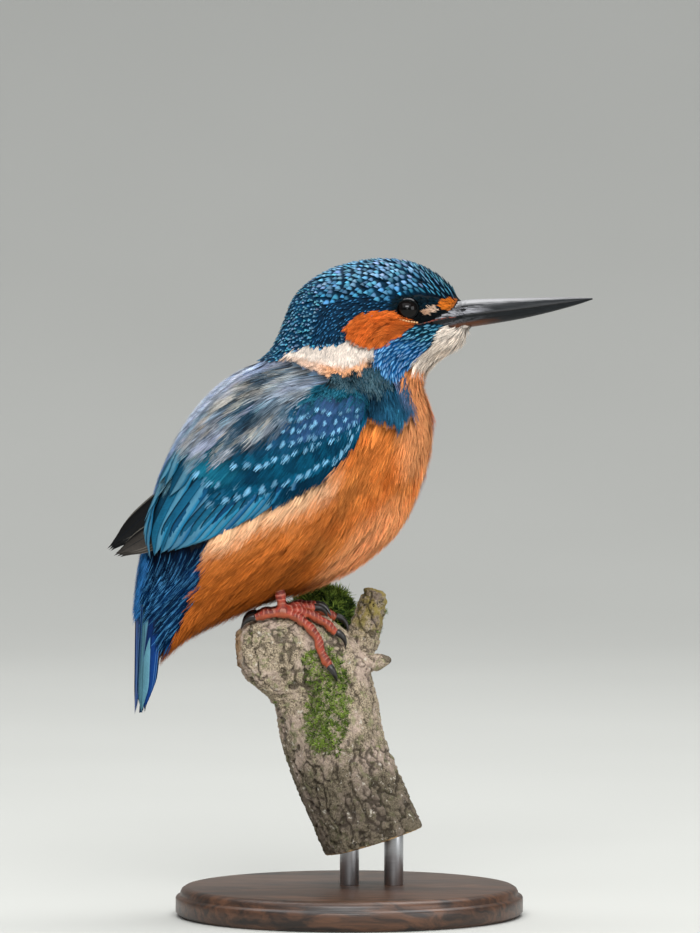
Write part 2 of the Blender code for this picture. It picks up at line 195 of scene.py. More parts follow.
def cad_points(*nodes: str) -> Shell:
    """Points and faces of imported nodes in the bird's frame."""
    meshes = [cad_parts[name].data for name in nodes]
    return together(
        [(read_mesh(mesh)[0], [tuple(face.vertices) for face in mesh.polygons]) for mesh in meshes])


def search_tree(*nodes: str) -> BVHTree:
    """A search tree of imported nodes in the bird's frame."""
    points, faces = cad_points(*nodes)
    return BVHTree.FromPolygons([Vector(p) for p in points], faces)


def add_object(name: str, mesh: Mesh) -> Object:
    """Put a mesh in the scene as a smooth object."""
    mesh.shade_smooth()
    obj = bpy.data.objects.new(name, mesh)
    bpy.context.scene.collection.objects.link(obj)
    return obj


def plain_mesh(obj: Object, name: str) -> Mesh:
    """Keep what an object's modifiers make as a plain mesh and remove the object."""
    graph = bpy.context.evaluated_depsgraph_get()
    mesh = bpy.data.meshes.new_from_object(obj.evaluated_get(graph))
    mesh.name = name
    bpy.data.objects.remove(obj)
    return mesh


def make_mesh(name: str, points: Array, faces: Faces) -> Mesh:
    """A mesh from points of the bird's frame.

    Args:
        name: The mesh's name.
        points: Places in millimetres.
        faces: Corner numbers of each face.

    Returns:
        The new mesh, in metres of the scene.
    """
    mesh = bpy.data.meshes.new(name)
    mesh.from_pydata(to_scene(points).tolist(), [], faces)
    mesh.update()
    return mesh


def put_vectors(mesh: Mesh, name: str, values: Array) -> None:
    """Store three numbers a point on a mesh.

    Args:
        mesh: Where they go.
        name: The attribute's name.
        values: One row, or a row for each point.
    """
    layer = mesh.attributes.new(name, "FLOAT_VECTOR", "POINT")
    rows = np.broadcast_to(np.asarray(values, np.float32), (len(mesh.vertices), 3))
    layer.data.foreach_set("vector", np.ascontiguousarray(rows).ravel())


def grid_faces(rows: int, columns: int, closed: bool, looped: bool = False) -> Faces:
    """Faces of a grid whose points are numbered row by row.

    Args:
        rows: Number of rows of points.
        columns: Points in a row.
        closed: True if the last column joins the first.
        looped: True if the last row joins the first.

    Returns:
        Corner numbers of each face.
    """
    faces = []
    for i, j in itertools.product(range(rows if looped else rows - 1),
            range(columns if closed else columns - 1)):
        k = (j + 1) % columns
        here, ahead = i * columns, (i + 1) % rows * columns
        faces.append((here + j, ahead + j, ahead + k, here + k))
    return faces


# -------- node trees


class Wire:
    """A node's output, which takes part in Python arithmetic."""

    def __init__(self, graph: "Graph", socket: bpy.types.NodeSocket) -> None:
        """Keep the tree and the socket."""
        self.graph = graph
        self.socket = socket

    def output(self, name: Union[int, str]) -> "Wire":
        """Another output of the same node."""
        return Wire(self.graph, self.socket.node.outputs[name])


Operand = Union[Wire, float]


def arithmetic(operation: str, swapped: bool = False) -> Callable[[Wire, Operand], Wire]:
    """Make an operator of Wire that adds one Math node.

    Args:
        operation: The Math node's operation.
        swapped: True for the reflected form, whose other operand comes first.

    Returns:
        The operator's method.
    """

    def method(self: Wire, other: Operand) -> Wire:
        """Work out the operation on this value and the other."""
        pair = (other, self) if swapped else (self, other)
        return self.graph.node("ShaderNodeMath", dict(enumerate(pair)), operation=operation)

    return method


for _name, _operation in (("add", "ADD"), ("sub", "SUBTRACT"), ("mul", "MULTIPLY"),
                          ("truediv", "DIVIDE"), ("pow", "POWER")):
    setattr(Wire, f"__{_name}__", arithmetic(_operation))
    setattr(Wire, f"__r{_name}__", arithmetic(_operation, swapped=True))


class Graph:
    """A node tree built by calls and by arithmetic on wires."""

    def __init__(self, tree: bpy.types.NodeTree) -> None:
        """Keep the tree that nodes go into."""
        self.tree = tree

    def node(self, kind: str, sockets: Optional[Mapping[Union[int, str], Any]] = None,
            output: Union[int, str] = 0, **settings: Any) -> Wire:
        """Add one node.

        Args:
            kind: The node's type.
            sockets: A value or a wire for each named or numbered input.
            output: Which output to return.
            settings: The node's own properties.

        Returns:
            That output.
        """
        made = self.tree.nodes.new(kind)
        for name, value in settings.items():
            setattr(made, name, value)
        for name, value in (sockets or {}).items():
            self.feed(made.inputs[name], value)
        return Wire(self, made.outputs[output])

    def feed(self, socket: bpy.types.NodeSocket, value: Any) -> None:
        """Link a wire to an input, or set the input's own value or colour code.

        Args:
            socket: The input.
            value: A wire, a number, a text, or a code such as #c8642d for a colour.
        """
        if isinstance(value, Wire):
            self.tree.links.new(value.socket, socket)
        elif socket.type == "RGBA":
            socket.default_value = (*linear(value), 1.0)
        else:
            socket.default_value = value

    def attribute(self, name: str) -> Wire:
        """A named attribute of the surface."""
        return self.node("ShaderNodeAttribute", attribute_name=name)

    def parts(self, vector: Union[Wire, str]) -> tuple[Wire, Wire, Wire]:
        """The three numbers of a vector, or of the attribute with that name."""
        vector = self.attribute(vector) if isinstance(vector, str) else vector
        first = self.node("ShaderNodeSeparateXYZ", {0: vector})
        return first, first.output(1), first.output(2)

    def vector(self, x: Operand, y: Operand, z: Operand) -> Wire:
        """A vector of three numbers."""
        return self.node("ShaderNodeCombineXYZ", {0: x, 1: y, 2: z})

    def maths(self, operation: str, value: Wire) -> Wire:
        """A Math node on one value."""
        return self.node("ShaderNodeMath", {0: value}, operation=operation)

    def vector_math(self, operation: str, a: Any, b: Any) -> Wire:
        """A Vector Math node on two vectors."""
        output = "Value" if operation in ("DOT_PRODUCT", "DISTANCE") else 0
        return self.node("ShaderNodeVectorMath", {0: a, 1: b}, output, operation=operation)

    def scaled(self, vector: Any, factor: Operand) -> Wire:
        """A vector times a number."""
        return self.node("ShaderNodeVectorMath", {0: vector, "Scale": factor}, operation="SCALE")

    def step(self, value: Wire, low: float, high: float) -> Wire:
        """Rise smoothly from 0 at low to 1 at high."""
        sockets = {0: value, 1: low, 2: high}
        return self.node("ShaderNodeMapRange", sockets, interpolation_type="SMOOTHSTEP")

    def mixed(self, factor: Operand, a: Any, b: Any) -> Wire:
        """A blend of two colours."""
        return self.node("ShaderNodeMix", {0: factor, 6: a, 7: b}, 2, data_type="RGBA")

    def cloud(self, vector: Wire, scale: float, detail: float = 2.0, roughness: float = 0.5) -> Wire:
        """A noise texture's value, around 0.5."""
        sockets = {"Vector": vector, "Scale": scale, "Detail": detail, "Roughness": roughness}
        return self.node("ShaderNodeTexNoise", sockets)


class Material(Graph):
    """A Principled material whose colours are laid one over another."""

    def __init__(self, name: str, **constants: Any) -> None:
        """Make the material.

        Args:
            name: The material's name.
            constants: Values of the shader's own sockets, with _ for each space.
        """
        self.made = bpy.data.materials.new(name)
        self.made.use_nodes = True
        super().__init__(self.made.node_tree)
        self.shader = self.made.node_tree.nodes["Principled BSDF"]
        self.colour: Any = None
        self.set(**constants)

    def place(self) -> Wire:
        """The surface's place in millimetres of the scene."""
        return self.scaled(self.node("ShaderNodeTexCoord", output="Object"), 1 / MM)

    def set(self, **values: Any) -> None:
        """Feed the shader's sockets, with _ for each space in a name."""
        for key, value in values.items():
            self.feed(self.shader.inputs[key.replace("_", " ")], value)

    def paint(self, share: Operand, colour: Any) -> None:
        """Lay a colour over what is there, by a share."""
        self.colour = self.mixed(share, self.colour, colour)

    def finish(self, height: Wire, distance: float, strength: float = 1.0, **values: Any) -> Surface:
        """Use the colour, raise the surface by a height map and feed the other sockets.

        Args:
            height: The map.
            distance: How far one unit of it rises, in millimetres.
            strength: Share of the effect that is used.
            values: Sockets as for set().

        Returns:
            The material.
        """
        sockets = {"Height": height, "Distance": distance * MM, "Strength": strength}
        self.set(Base_Color=self.colour, Normal=self.node("ShaderNodeBump", sockets), **values)
        return self.made


class Tree(Graph):
    """A Geometry Nodes tree with named inputs."""

    def __init__(self, name: str, inputs: Sequence[tuple[str, str]]) -> None:
        """Make the tree.

        Args:
            name: The tree's name.
            inputs: Name and type of each input after the geometry.
        """
        super().__init__(bpy.data.node_groups.new(name, "GeometryNodeTree"))
        face = self.tree.interface
        face.new_socket("Geometry", in_out="INPUT", socket_type="NodeSocketGeometry")
        face.new_socket("Geometry", in_out="OUTPUT", socket_type="NodeSocketGeometry")
        for label, kind in inputs:
            face.new_socket(label, in_out="INPUT", socket_type="NodeSocket" + kind)
        self.entry = self.node("NodeGroupInput")
        self.exit = self.tree.nodes.new("NodeGroupOutput")

    def input(self, name: str) -> Wire:
        """One of the tree's named inputs."""
        return self.entry.output(name)

    def named(self, name: str) -> Wire:
        """A named vector attribute of the geometry."""
        return self.node("GeometryNodeInputNamedAttribute", {"Name": name}, data_type="FLOAT_VECTOR")

    def store(self, geometry: Wire, name: str, value: Wire, kind: str = "FLOAT_VECTOR",
            domain: str = "POINT") -> Wire:
        """Store a named attribute.

        Args:
            geometry: What it is stored on.
            name: Its name.
            value: What it holds.
            kind: Its data type.
            domain: Where on the geometry it sits.

        Returns:
            The geometry with the attribute.
        """
        sockets = {"Geometry": geometry, "Name": name, "Value": value}
        return self.node("GeometryNodeStoreNamedAttribute", sockets, data_type=kind, domain=domain)

    def end(self, geometry: Wire) -> None:
        """Make the geometry real, give it its material and hand it out."""
        real = self.node("GeometryNodeRealizeInstances", {0: geometry})
        sockets = {"Geometry": real, "Material": self.input("Material")}
        dressed = self.node("GeometryNodeSetMaterial", sockets)
        self.tree.links.new(dressed.socket, self.exit.inputs[0])

    def grow(self, name: str, mesh: Mesh, values: Mapping[str, Any]) -> Mesh:
        """Run the tree on a mesh and keep the result as a plain mesh.

        Args:
            name: The new mesh's name.
            mesh: What the tree starts from.
            values: A value for each named input.

        Returns:
            The new mesh.
        """
        seed = add_object(name + "_seed", mesh)
        modifier = seed.modifiers.new("Grow", "NODES")
        modifier.node_group = self.tree
        for item in self.tree.interface.items_tree:
            if item.in_out == "INPUT" and item.name in values:
                modifier[item.identifier] = values[item.name]
        return plain_mesh(seed, name)


# -------- the bird's form


class Side(IntEnum):
    """The bird's two sides, by the sign of Y there."""

    RIGHT = -1
    LEFT = 1

    @property
    def word(self) -> str:
        """The side's name as it ends a node's name."""
        return self.name.lower()


class Zone(IntEnum):
    """Parts of the plumage that have a look of their own."""

    EYE = 0
    HORN = 1
    LORE = 2
    CREAM = 3
    ORANGE_LORE = 4
    MASK = 5
    EAR = 6
    WHITE = 7
    MALAR = 8
    THROAT = 9
    BAND = 10
    CROWN = 11
    NAPE = 12
    SHOULDER = 13
    WRIST = 14
    PECTORAL = 15
    BREAST = 16
    MANTLE = 17
    STRIPE = 18
    RUMP = 19
    TAIL = 20
    WING = 21


EYE_X, EYE_Z = 28.9, 84.1
EYE_OPENING = 2.6
STRIPE_HALF = 6.0  # half the width of the stripe down the back
# where the bill's horn reaches back over the face
HORN = ((43.0, 87.0), (41.6, 84.9), (39.6, 83.2), (37.6, 81.8), (37.0, 81.0), (38.6, 80.3),
        (41.5, 79.6), (44.6, 79.4), (48, 79.6), (52, 80), (52, 88))
WING_LOWER = [(17.6, 56.5), (15.4, 47.6), (8.2, 38.9), (-3.5, 32.9), (-15.5, 27.6),
              (-28.5, 21.0), (-41.4, 18.8)]
WING_UPPER = [(17.9, 59.6), (12.5, 66.4), (-1.0, 69.4), (-15.5, 65.0), (-28.0, 54.0),
              (-37.0, 40.4), (-43.4, 25.6)]


@dataclass
class Form:
    """The bird's outer form as a grid, with rows from bill to tail and columns round it."""

    # Middle of each cut across the body and the lean of the cut, in degrees.
    cuts: Line = ((45.4, 82.8, 108), (41.9, 82.7, 102.3), (35.0, 83.5, 104.9), (27.6, 82.6, 116),
        (21.1, 80.1, 129.2), (16.5, 75.3, 142.2), (14.9, 68.8, 151.3), (13.3, 62.2, 156),
        (7.85, 54.75, 157.6), (1.5, 45.3, 159.8), (-4.5, 34.8, 160.3), (-11.8, 24.8, 159.8),
        (-20.4, 15.8, 159.4), (-28.6, 8.2, 162.9), (-36.6, -0.8, 162.3), (-41.1, -9.25, 161.3),
        (-42.6, -18.4, 164), (-42.9, -25.0, 170))
    rows: int = 190
    columns: int = 144
    reach: float = 60.0
    blur: float = 1.3
    # Which way feathers lie on the flanks: x, z, and degrees below straight back.
    guides: Line = ((10, 66, 14), (0, 67, 15), (2, 60, 66), (-4, 57, 58), (-12, 54, 43), (-12, 63, 28),
        (-22, 55, 40), (-22, 47, 40), (-30, 46, 47), (-36, 40, 54), (-40, 34, 60), (15, 50, 75),
        (5, 48, 66), (-5, 42, 57), (-15, 38, 48), (-25, 33, 42), (-35, 28, 40))
    points: Array = field(init=False)
    normals: Array = field(init=False)
    flow: Array = field(init=False)
    length: Array = field(init=False)
    tree: BVHTree = field(init=False)

    def __post_init__(self) -> None:
        """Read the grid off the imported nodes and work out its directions."""
        surface = search_tree(*BODY_NODES, *WING_NODES, *EYE_NODES)
        steps = np.linspace(0, len(self.cuts) - 1, self.rows)
        middle = curve_at(self.cuts, steps)
        lean = np.radians(middle[:, 2])
        up = triples(np.cos(lean), 0, np.sin(lean))
        turn = turns(self.columns)
        radius = np.full((self.rows, self.columns), np.nan)
        centre = triples(middle[:, 0], 0, middle[:, 1])
        rays = (np.cos(turn)[None, :, None] * up[:, None]
                + np.sin(turn)[None, :, None] * np.array((0.0, -1.0, 0.0)))
        for i, j in np.ndindex(radius.shape):
            start = centre[i] + rays[i, j] * self.reach
            hit = surface.ray_cast(Vector(start), Vector(-rays[i, j]))[3]
            if hit is not None and hit < self.reach - 0.5:
                radius[i, j] = self.reach - hit
        radius = self.filled(radius)
        for _ in range(2):
            radius = self.blurred(radius, self.blur)
        self.points = centre[:, None] + rays * radius[..., None]
        ahead = np.gradient(self.points, axis=0)
        around = (np.roll(self.points, -1, axis=1) - np.roll(self.points, 1, axis=1)) / 2
        self.flow = unit(ahead)
        self.normals = unit(np.cross(ahead, around))
        self.length = np.vstack((np.zeros(self.columns), np.cumsum(
            np.linalg.norm(np.diff(self.points, axis=0), axis=2), axis=0)))
        self.tree = BVHTree.FromPolygons([Vector(p) for p in self.points.reshape(-1, 3)],
            grid_faces(self.rows, self.columns, True))

    def heading(self, points: Array, facing: Array) -> Array:
        """The way feathers lie on the flank.

        Args:
            points: Places in the bird's frame.
            facing: The surface's direction at each.

        Returns:
            A unit vector along the surface for each place.
        """
        guides = np.asarray(self.guides, float)
        away = np.hypot(points[:, :1] - guides[:, 0], points[:, 2:] - guides[:, 1])
        weight = 1 / (away**2 + 4.0) ** 1.5
        turn = np.radians((weight * guides[:, 2]).sum(1) / weight.sum(1))
        return level_with(triples(-np.cos(turn), 0, -np.sin(turn)), facing)

    def on_side(self, spots: Array, side: Side) -> tuple[Array, Array]:
        """Find places of the form that show at these spots in side view.

        Args:
            spots: Places as (x, z) rows.
            side: Which side.

        Returns:
            Places along the body in rows and round it, as for sample().
        """
        found = np.zeros((len(spots), 2))
        for k, (x, z) in enumerate(spots):
            start = Vector((x, side * self.reach, z))
            hit, _, cell, _ = self.tree.ray_cast(start, Vector((0, -side, 0)))
            if cell is None:
                hit, _, cell, _ = self.tree.find_nearest(Vector((x, side * 8.0, z)))
            row, column = divmod(cell, self.columns)
            corner = self.points[row, column]
            steps = (self.points[row + 1, column] - corner,
                self.points[row, (column + 1) % self.columns] - corner)
            share = [np.clip(np.dot(np.array(hit) - corner, s) / np.dot(s, s), 0, 1) for s in steps]
            found[k] = row + share[0], (column + share[1]) / self.columns
        return found.T

    @staticmethod
    def filled(values: Array) -> Array:
        """Fill what no ray hit from its neighbours along the body."""
        spots = np.arange(len(values))
        for column in values.T:
            known = ~np.isnan(column)
            column[:] = np.interp(spots, spots[known], column[known])
        return values

    @staticmethod
    def blurred(values: Array, width: float) -> Array:
        """Even out a grid over a width given in cells."""
        reach = int(3 * width)
        kernel = np.exp(-0.5 * (np.arange(-reach, reach + 1) / width) ** 2)
        kernel /= kernel.sum()
        tall = np.pad(values, ((reach, reach), (0, 0)), mode="reflect", reflect_type="odd")
        tall = sum(k * tall[i : i + len(values)] for i, k in enumerate(kernel))
        wide = np.pad(tall, ((0, 0), (reach, reach)), mode="wrap")
        return sum(k * wide[:, i : i + values.shape[1]] for i, k in enumerate(kernel))

    def sample(self, grid: Array, t: Array, a: Array) -> Array:
        """Read a grid between its points.

        Args:
            grid: Values for each row and column.
            t: Places along the body in rows.
            a: Places round it, 0 to 1 from the back by the right side.

        Returns:
            The values there.
        """
        t = np.clip(t, 0, self.rows - 1.001)
        i, u = t.astype(int), (t % 1)[:, None]
        b = (a % 1) * self.columns
        j, v = b.astype(int) % self.columns, (b % 1)[:, None]
        k = (j + 1) % self.columns
        near = grid[i, j] * (1 - v) + grid[i, k] * v
        return near * (1 - u) + (grid[i + 1, j] * (1 - v) + grid[i + 1, k] * v) * u

    def at(self, t: Array, a: Array) -> tuple[Array, Array]:
        """The surface's places, and directions of about one unit, at places of the grid."""
        return self.sample(self.points, t, a), self.sample(self.normals, t, a)

    def lattice(self, along: float, across: float, jitter: float, seed: int) -> tuple[Array, Array]:
        """Spread staggered rows of places evenly over the form.

        Args:
            along: Distance between rows along the lie.
            across: Distance between places in a row.
            jitter: Share of a step by which places stray.
            seed: Of the random strays.

        Returns:
            The places along the body in rows, and round it from 0 to 1.
        """
        random = np.random.default_rng(seed)
        columns = np.arange(self.columns + 1) / self.columns
        rows = np.arange(self.rows)
        found = []
        for number, reach in enumerate(np.arange(0.0, self.length[-1].max(), along)):
            t = np.array(
                [np.interp(reach, self.length[:, j], rows, right=np.nan) for j in range(self.columns)])
            t = np.append(t, t[0])
            line = self.sample(self.points, np.nan_to_num(t, nan=self.rows), columns)
            lap = np.append(0, np.cumsum(np.linalg.norm(np.diff(line, axis=0), axis=1)))
            count = max(3, round(lap[-1] / across))
            spots = (np.arange(count) + 0.5 * (number % 2)) / count
            spots = (spots + random.uniform(-jitter, jitter, count) / count) % 1
            a = np.interp(spots * lap[-1], lap, columns)
            t = np.interp(a, columns, t)
            slope = self.rows / self.length[-1].mean()
            t += random.uniform(-jitter, jitter, count) * along * slope
            found.append(np.stack((t, a), 1)[~np.isnan(t)])
        t, a = np.vstack(found).T
        kept = (t > 0) & (t < self.rows - 1)
        return t[kept], a[kept]


@dataclass
class Colouring:
    """Places of the plumage, with the linear colours of vane and tip mark there."""

    points: Array
    zones: Array
    tint: Array
    mark: Array

    def lay(self, share: Array, tint: str, mark: str = "") -> None:
        """Lay colour codes over vanes and marks, where given, by a share for each place."""
        for rows, code in ((self.tint, tint), (self.mark, mark)):
            if code:
                rows[:] = rows * (1 - share[:, None]) + linear(code) * share[:, None]

    def darken(self, vane: Array, mark: Array) -> None:
        """Darken vanes and marks by shares for each place."""
        self.tint *= 1 - vane[:, None]
        self.mark *= 1 - mark[:, None]

    def shade_back(self) -> None:
        """Lay streaks of teal, beige, lavender and dark blue along the mantle's feathers, and a painted
        sheen.
        """
        (x, y, z), outward = self.points.T, np.abs(self.points[:, 1])
        slope = math.radians(42)
        along = x * math.cos(slope) + z * math.sin(slope)
        across = z * math.cos(slope) - x * math.sin(slope)
        here = self.zones == Zone.MANTLE
        low_front = smooth(x, -26, -14) * smooth(-z, -63, -56)
        for k, (tint, mark, least, power) in enumerate(MANTLE_STREAKS):
            wide = noise(triples(along / 13, across / 5.0, y / 12) + 9.0 * k, 16)
            slim = noise(triples(along / 7, across / 0.8, y / 2.0) + 5.0 * k, 17)
            level = least - (0.3 * low_front if k == 2 else 0.0)
            share = smooth(0.6 * wide + 0.55 * slim, level - 0.15, level + 0.3)
            self.lay(power * share * here, tint, mark)
        self.lay(0.55 * smooth(x, -12, -2) * here, "#2c4a60", "#7890a0")
        rear = smooth(-x, 24, 32) * smooth(-z, -49, -41) * smooth(outward, 6, 9)
        self.lay(0.7 * rear * here, "#256478", "#4a94a4")
        # painted sheen: a lavender-grey wash on the upper mantle beside the back stripe
        self.lay(0.75 * smooth(-outward, -12, -7) * smooth(z, 42, 54) * here, "#a3b2d2")
        low = smooth(-z, -58, -36) * (self.zones == Zone.STRIPE)
        gaps = low * smooth(noise(self.points / (1.1, 1.1, 5.0), 19), -0.15, 0.35)
        self.lay(low, "#0f58a0", "#3f8cd0")
        self.tint -= linear("#0f58a0") * (0.75 * gaps)[:, None]

    def shade_under_wing(self) -> None:
        """Lay pale flank, browner belly, painted shade and light on the breast, painted wing shadow on the
        rump.
        """
        x, _, z = self.points.T
        below = np.interp(x, *zip(*WING_LOWER[::-1])) - z
        here = self.zones == Zone.BREAST
        belly = smooth(-z, -34, -8) * (1 - 0.7 * smooth(x, 2, 14))
        self.lay(0.85 * belly * here, "#9a5018")
        flank = np.exp(-(((below - 2.4) / 3.0) ** 2)) * smooth(-x, -14, -5)
        self.lay(0.85 * flank * here, "#efc59c")
        fold = (x - 18) * 0.79 - (z - 39) * 0.61
        soft = noise(self.points / 5.0, 71)
        # painted shade along a fold down the breast
        dark = 0.42 * np.exp(-(((fold + 1.5 * soft) / 2.4) ** 2)) * smooth(-z, -44, -36)
        self.darken(dark * here, 0 * x)
        # painted light on the breast's front and lower front, where the lamps fall
        front = smooth(fold + 2.0 * soft, 4.0, 9.0) * smooth(-z, -38, -26)
        front = np.maximum(front, smooth(x, 24, 31) * smooth(z, 34, 42))
        self.lay(0.45 * front * here, "#f2b684")
        # painted shadow of the wing's lower edge on the rump
        under = smooth(-below, -9, -2) * (self.zones == Zone.RUMP)
        self.darken(0.75 * under, 0.6 * under)

    def shade_head(self, fine: Array) -> None:
        """Lay buff fringe, bluer lower malar, painted shade in gaps, blue straps and paler crown.

        Args:
            fine: Noise from 0 to 1 at each place.
        """
        x, _, z = self.points.T
        fringe = np.interp(x, [-4, 2, 6, 10, 14, 18], [71.6, 70.8, 69.8, 68.6, 68.8, 70.6])
        buff = smooth(fringe - z + 1.4 * (fine - 0.5), -0.9, 0.9) * (0.5 + 0.5 * smooth(x, 3, 9))
        self.lay(buff * (self.zones == Zone.WHITE), "#d8a076")
        low = smooth(76.5 - z + (30 - x) * 0.3, -1.5, 4.0) * (self.zones == Zone.MALAR)
        self.lay(low, "#124c80", "#78acd8")
        # painted shade in the gaps between folds of plumage
        for middle, height, wide, tall in GAP_SHADOWS:
            gap = np.exp(-(((x - middle) / wide) ** 2) - ((z - height) / tall) ** 2)
            gap *= 0.92 * (self.zones != Zone.BREAST)
            self.darken(gap, gap)
        for code, slope, level, half in (("#3a8eb4", 0.8, 70.5, 1.4), ("#8d9cc6", 0.51, 59.3, 1.1)):
            strap = np.exp(-(((x + slope * z - level) / half) ** 2)) * (self.zones == Zone.PECTORAL)
            self.lay(0.9 * strap * (smooth(-z, -60, -58) if slope > 0.6 else 1.0), code)
        crown = self.zones == Zone.CROWN
        self.lay(smooth(z, 86, 96) * crown, "", "#7ab0d2")
        front = smooth(x, 29, 36) * crown
        self.darken(0.7 * front, 0 * x)
        self.lay(0.6 * front, "", "#3f808e")


# The plumage's pattern as outlines in side view, in the order they are tried.
OUTLINES = (
    (Zone.HORN, HORN),
    (Zone.CREAM, ((32.6, 83), (34, 84.3), (35.6, 85.1), (36.8, 84.9), (37.3, 84), (36.4, 83.4),
        (34.8, 82.7), (33.4, 82.3))),
    (Zone.ORANGE_LORE, ((37.2, 85.3), (38.5, 87.2), (40.6, 87.5), (43.4, 87), (43.6, 85.6), (41.8, 84.4),
        (39.6, 83.6), (38.2, 83.9))),
    (Zone.LORE, ((29.5, 80.8), (32, 84.2), (33, 83), (37.6, 84.4), (48, 85.4), (48, 79.8), (38, 80),
        (33.5, 79.9), (31, 80.1))),
    (Zone.EAR, ((31.9, 80.1), (28.6, 81.6), (26.1, 82.4), (22.8, 83.4), (19.4, 83.4), (16, 82.7),
        (14, 81.4), (12.2, 79), (12.6, 77), (14.6, 75.2), (17.2, 74.2), (19.8, 73.9), (23.2, 74.8),
        (25.8, 76.2), (28.2, 78), (30, 79.2))),
    (Zone.WHITE, ((-5.8, 71), (0.2, 73.9), (3.1, 74.5), (8.3, 74.1), (11.3, 75.2), (14.3, 75.6),
        (17.2, 74.6), (20.2, 73.8), (20, 71.8), (18.6, 69), (16.5, 67), (12.8, 66.2), (9.1, 66.4),
        (5.4, 67.9), (1.7, 69.5), (-2.8, 70.8))),
    (Zone.MALAR, ((38.6, 80.2), (36.9, 77.8), (35, 74), (33.2, 71.5), (30.6, 69.2), (28.7, 66.6),
        (27.7, 65.2), (21.8, 65), (19.6, 68.5), (19.4, 71.8), (19.8, 73.9), (23.2, 74.8), (25.8, 76.2),
        (28.2, 78), (30, 79.2), (31.9, 80.2), (35, 80.4))),
    (Zone.THROAT, ((52, 82), (52, 66), (38, 61.8), (34.4, 63.6), (31.5, 66), (28.9, 67.2), (30.6, 69.2),
        (33.2, 71.5), (35, 74), (36.9, 77.8), (38.6, 80.2), (42, 80.6))),
    (Zone.SHOULDER, ((8, 64), (8.6, 66.8), (12.8, 66.8), (16, 69), (20, 71), (23.6, 66.8), (25, 63.6),
        (24.6, 61.8), (22, 60.9), (18, 61.2), (14.6, 62.4), (10.4, 63.4))),
    (Zone.WRIST, ((-1.5, 57.5), (1, 61), (4.4, 63), (10.4, 63.4), (14.6, 62.4), (18.2, 59.8), (19, 56.4),
        (16.4, 57.2), (8, 58.2), (2, 56.8))),
    (Zone.PECTORAL, ((19.6, 68.5), (21.8, 65), (27.7, 65.4), (29, 62.5), (31, 58), (31.4, 56.4), (30, 54.4),
        (27.5, 52.8), (25, 53), (21.5, 54.6), (18, 55), (16, 55.4), (14, 60), (8, 64), (9, 66.6),
        (12.8, 66.2), (16.5, 67.4))),
    (Zone.MASK, ((27, 80.8), (24.4, 83.6), (24.6, 86.4), (27.8, 88), (32, 88), (36.5, 87.4), (38, 86.4),
        (37, 83.6), (31.4, 80.6))),
    (Zone.BAND, ((5, 84.6), (9.1, 86.8), (16.5, 88.2), (22, 87), (26, 87.6), (25.4, 82.4), (19.4, 82.6),
        (12, 79.5), (10, 75), (3, 75), (4, 80))),
    (Zone.NAPE, ((-14, 70.9), (-5.8, 70.9), (3.1, 74.5), (8.3, 74.1), (12.6, 75.4), (12.2, 79), (7, 86.4),
        (2, 96), (-14, 96))),
    (Zone.CROWN, ((-14, 84), (7, 84), (10, 80), (26, 80), (30, 82), (36, 85), (60, 84), (60, 110),
        (-14, 110))),
    (Zone.MANTLE, ((4, 57.2), (0.7, 55.5), (-3.5, 53), (-7.7, 49.2), (-13.4, 46.6), (-16.8, 44.4),
        (-24.4, 43.2), (-28.9, 41.5), (-33.5, 38.9), (-36.9, 35.1), (-41, 33), (-60, 33), (-60, 75),
        (-6, 71.8), (17.6, 68), (19.4, 65), (15, 62.6), (10, 61.8), (5, 60))),
    (Zone.WING, (*WING_LOWER, *WING_UPPER[::-1])),
    (Zone.RUMP, ((-25, 24), (-26, 12), (-29, 4), (-33, -3), (-36, -8), (-37.5, -9), (-38, -1), (-39, 1.8),
        (-60, 2.2), (-60, 32), (-41, 34))),
    (Zone.TAIL, ((-39, 1.8), (-38, -1), (-37.5, -9), (-38, -14), (-40, -40), (-60, -40), (-60, 2.2))),
    (Zone.MANTLE, ((18, 60), (17.6, 68), (-6, 71.8), (-60, 71.8), (-60, 30), (-41, 32), (-30, 20),
        (-10, 40))),
)


def zones_at(points: Array) -> Array:
    """Tell which zone each place of the bird is in.

    Args:
        points: Places in the bird's frame.

    Returns:
        The number of each place's zone.
    """
    found = np.full(len(points), Zone.BREAST)
    ragged = np.stack((noise(points / 0.9, 61), noise(points / 0.9, 62)), 1)
    face = smooth(points[:, 0], 24, 30)[:, None]
    head = smooth(points[:, 2], 64, 68)[:, None]
    side = points[:, [0, 2]] + ragged * (0.7 - 0.4 * head - 0.12 * face)
    free = np.ones(len(points), bool)
    for zone, outline in OUTLINES:
        hit = free & inside(side, outline)
        found[hit] = zone
        free &= ~hit
    near = np.hypot(points[:, 0] - EYE_X, points[:, 2] - EYE_Z) < EYE_OPENING
    found[near & (np.abs(points[:, 1]) > 5)] = Zone.EYE
    back = np.isin(found, (Zone.MANTLE, Zone.RUMP, Zone.WING))
    middle = np.abs(points[:, 1]) < STRIPE_HALF
    found[back & middle & (side[:, 0] < 0)] = Zone.STRIPE
    return found


def colours_at(points: Array, zones: Array) -> tuple[Array, Array]:
    """Colour of the vane and of its tip mark at each place.

    Args:
        points: Places in the bird's frame.
        zones: Each place's zone number.

    Returns:
        Vane colours and mark colours, linear.
    """
    made = Colouring(points, zones, *np.zeros((2, len(points), 3)))
    broad = noise(points / 6.5, 11) * 0.5 + 0.5
    fine = noise(points / 1.7, 12) * 0.5 + 0.5
    for zone, (dark, pale, tip) in PALETTE.items():
        here = zones == zone
        made.tint[here] = between((dark, pale), (0.55 * broad + 0.45 * fine)[here, None])
        made.mark[here] = linear(tip)
    made.shade_back()
    made.shade_under_wing()
    made.shade_head(fine)
    return made.tint, made.mark


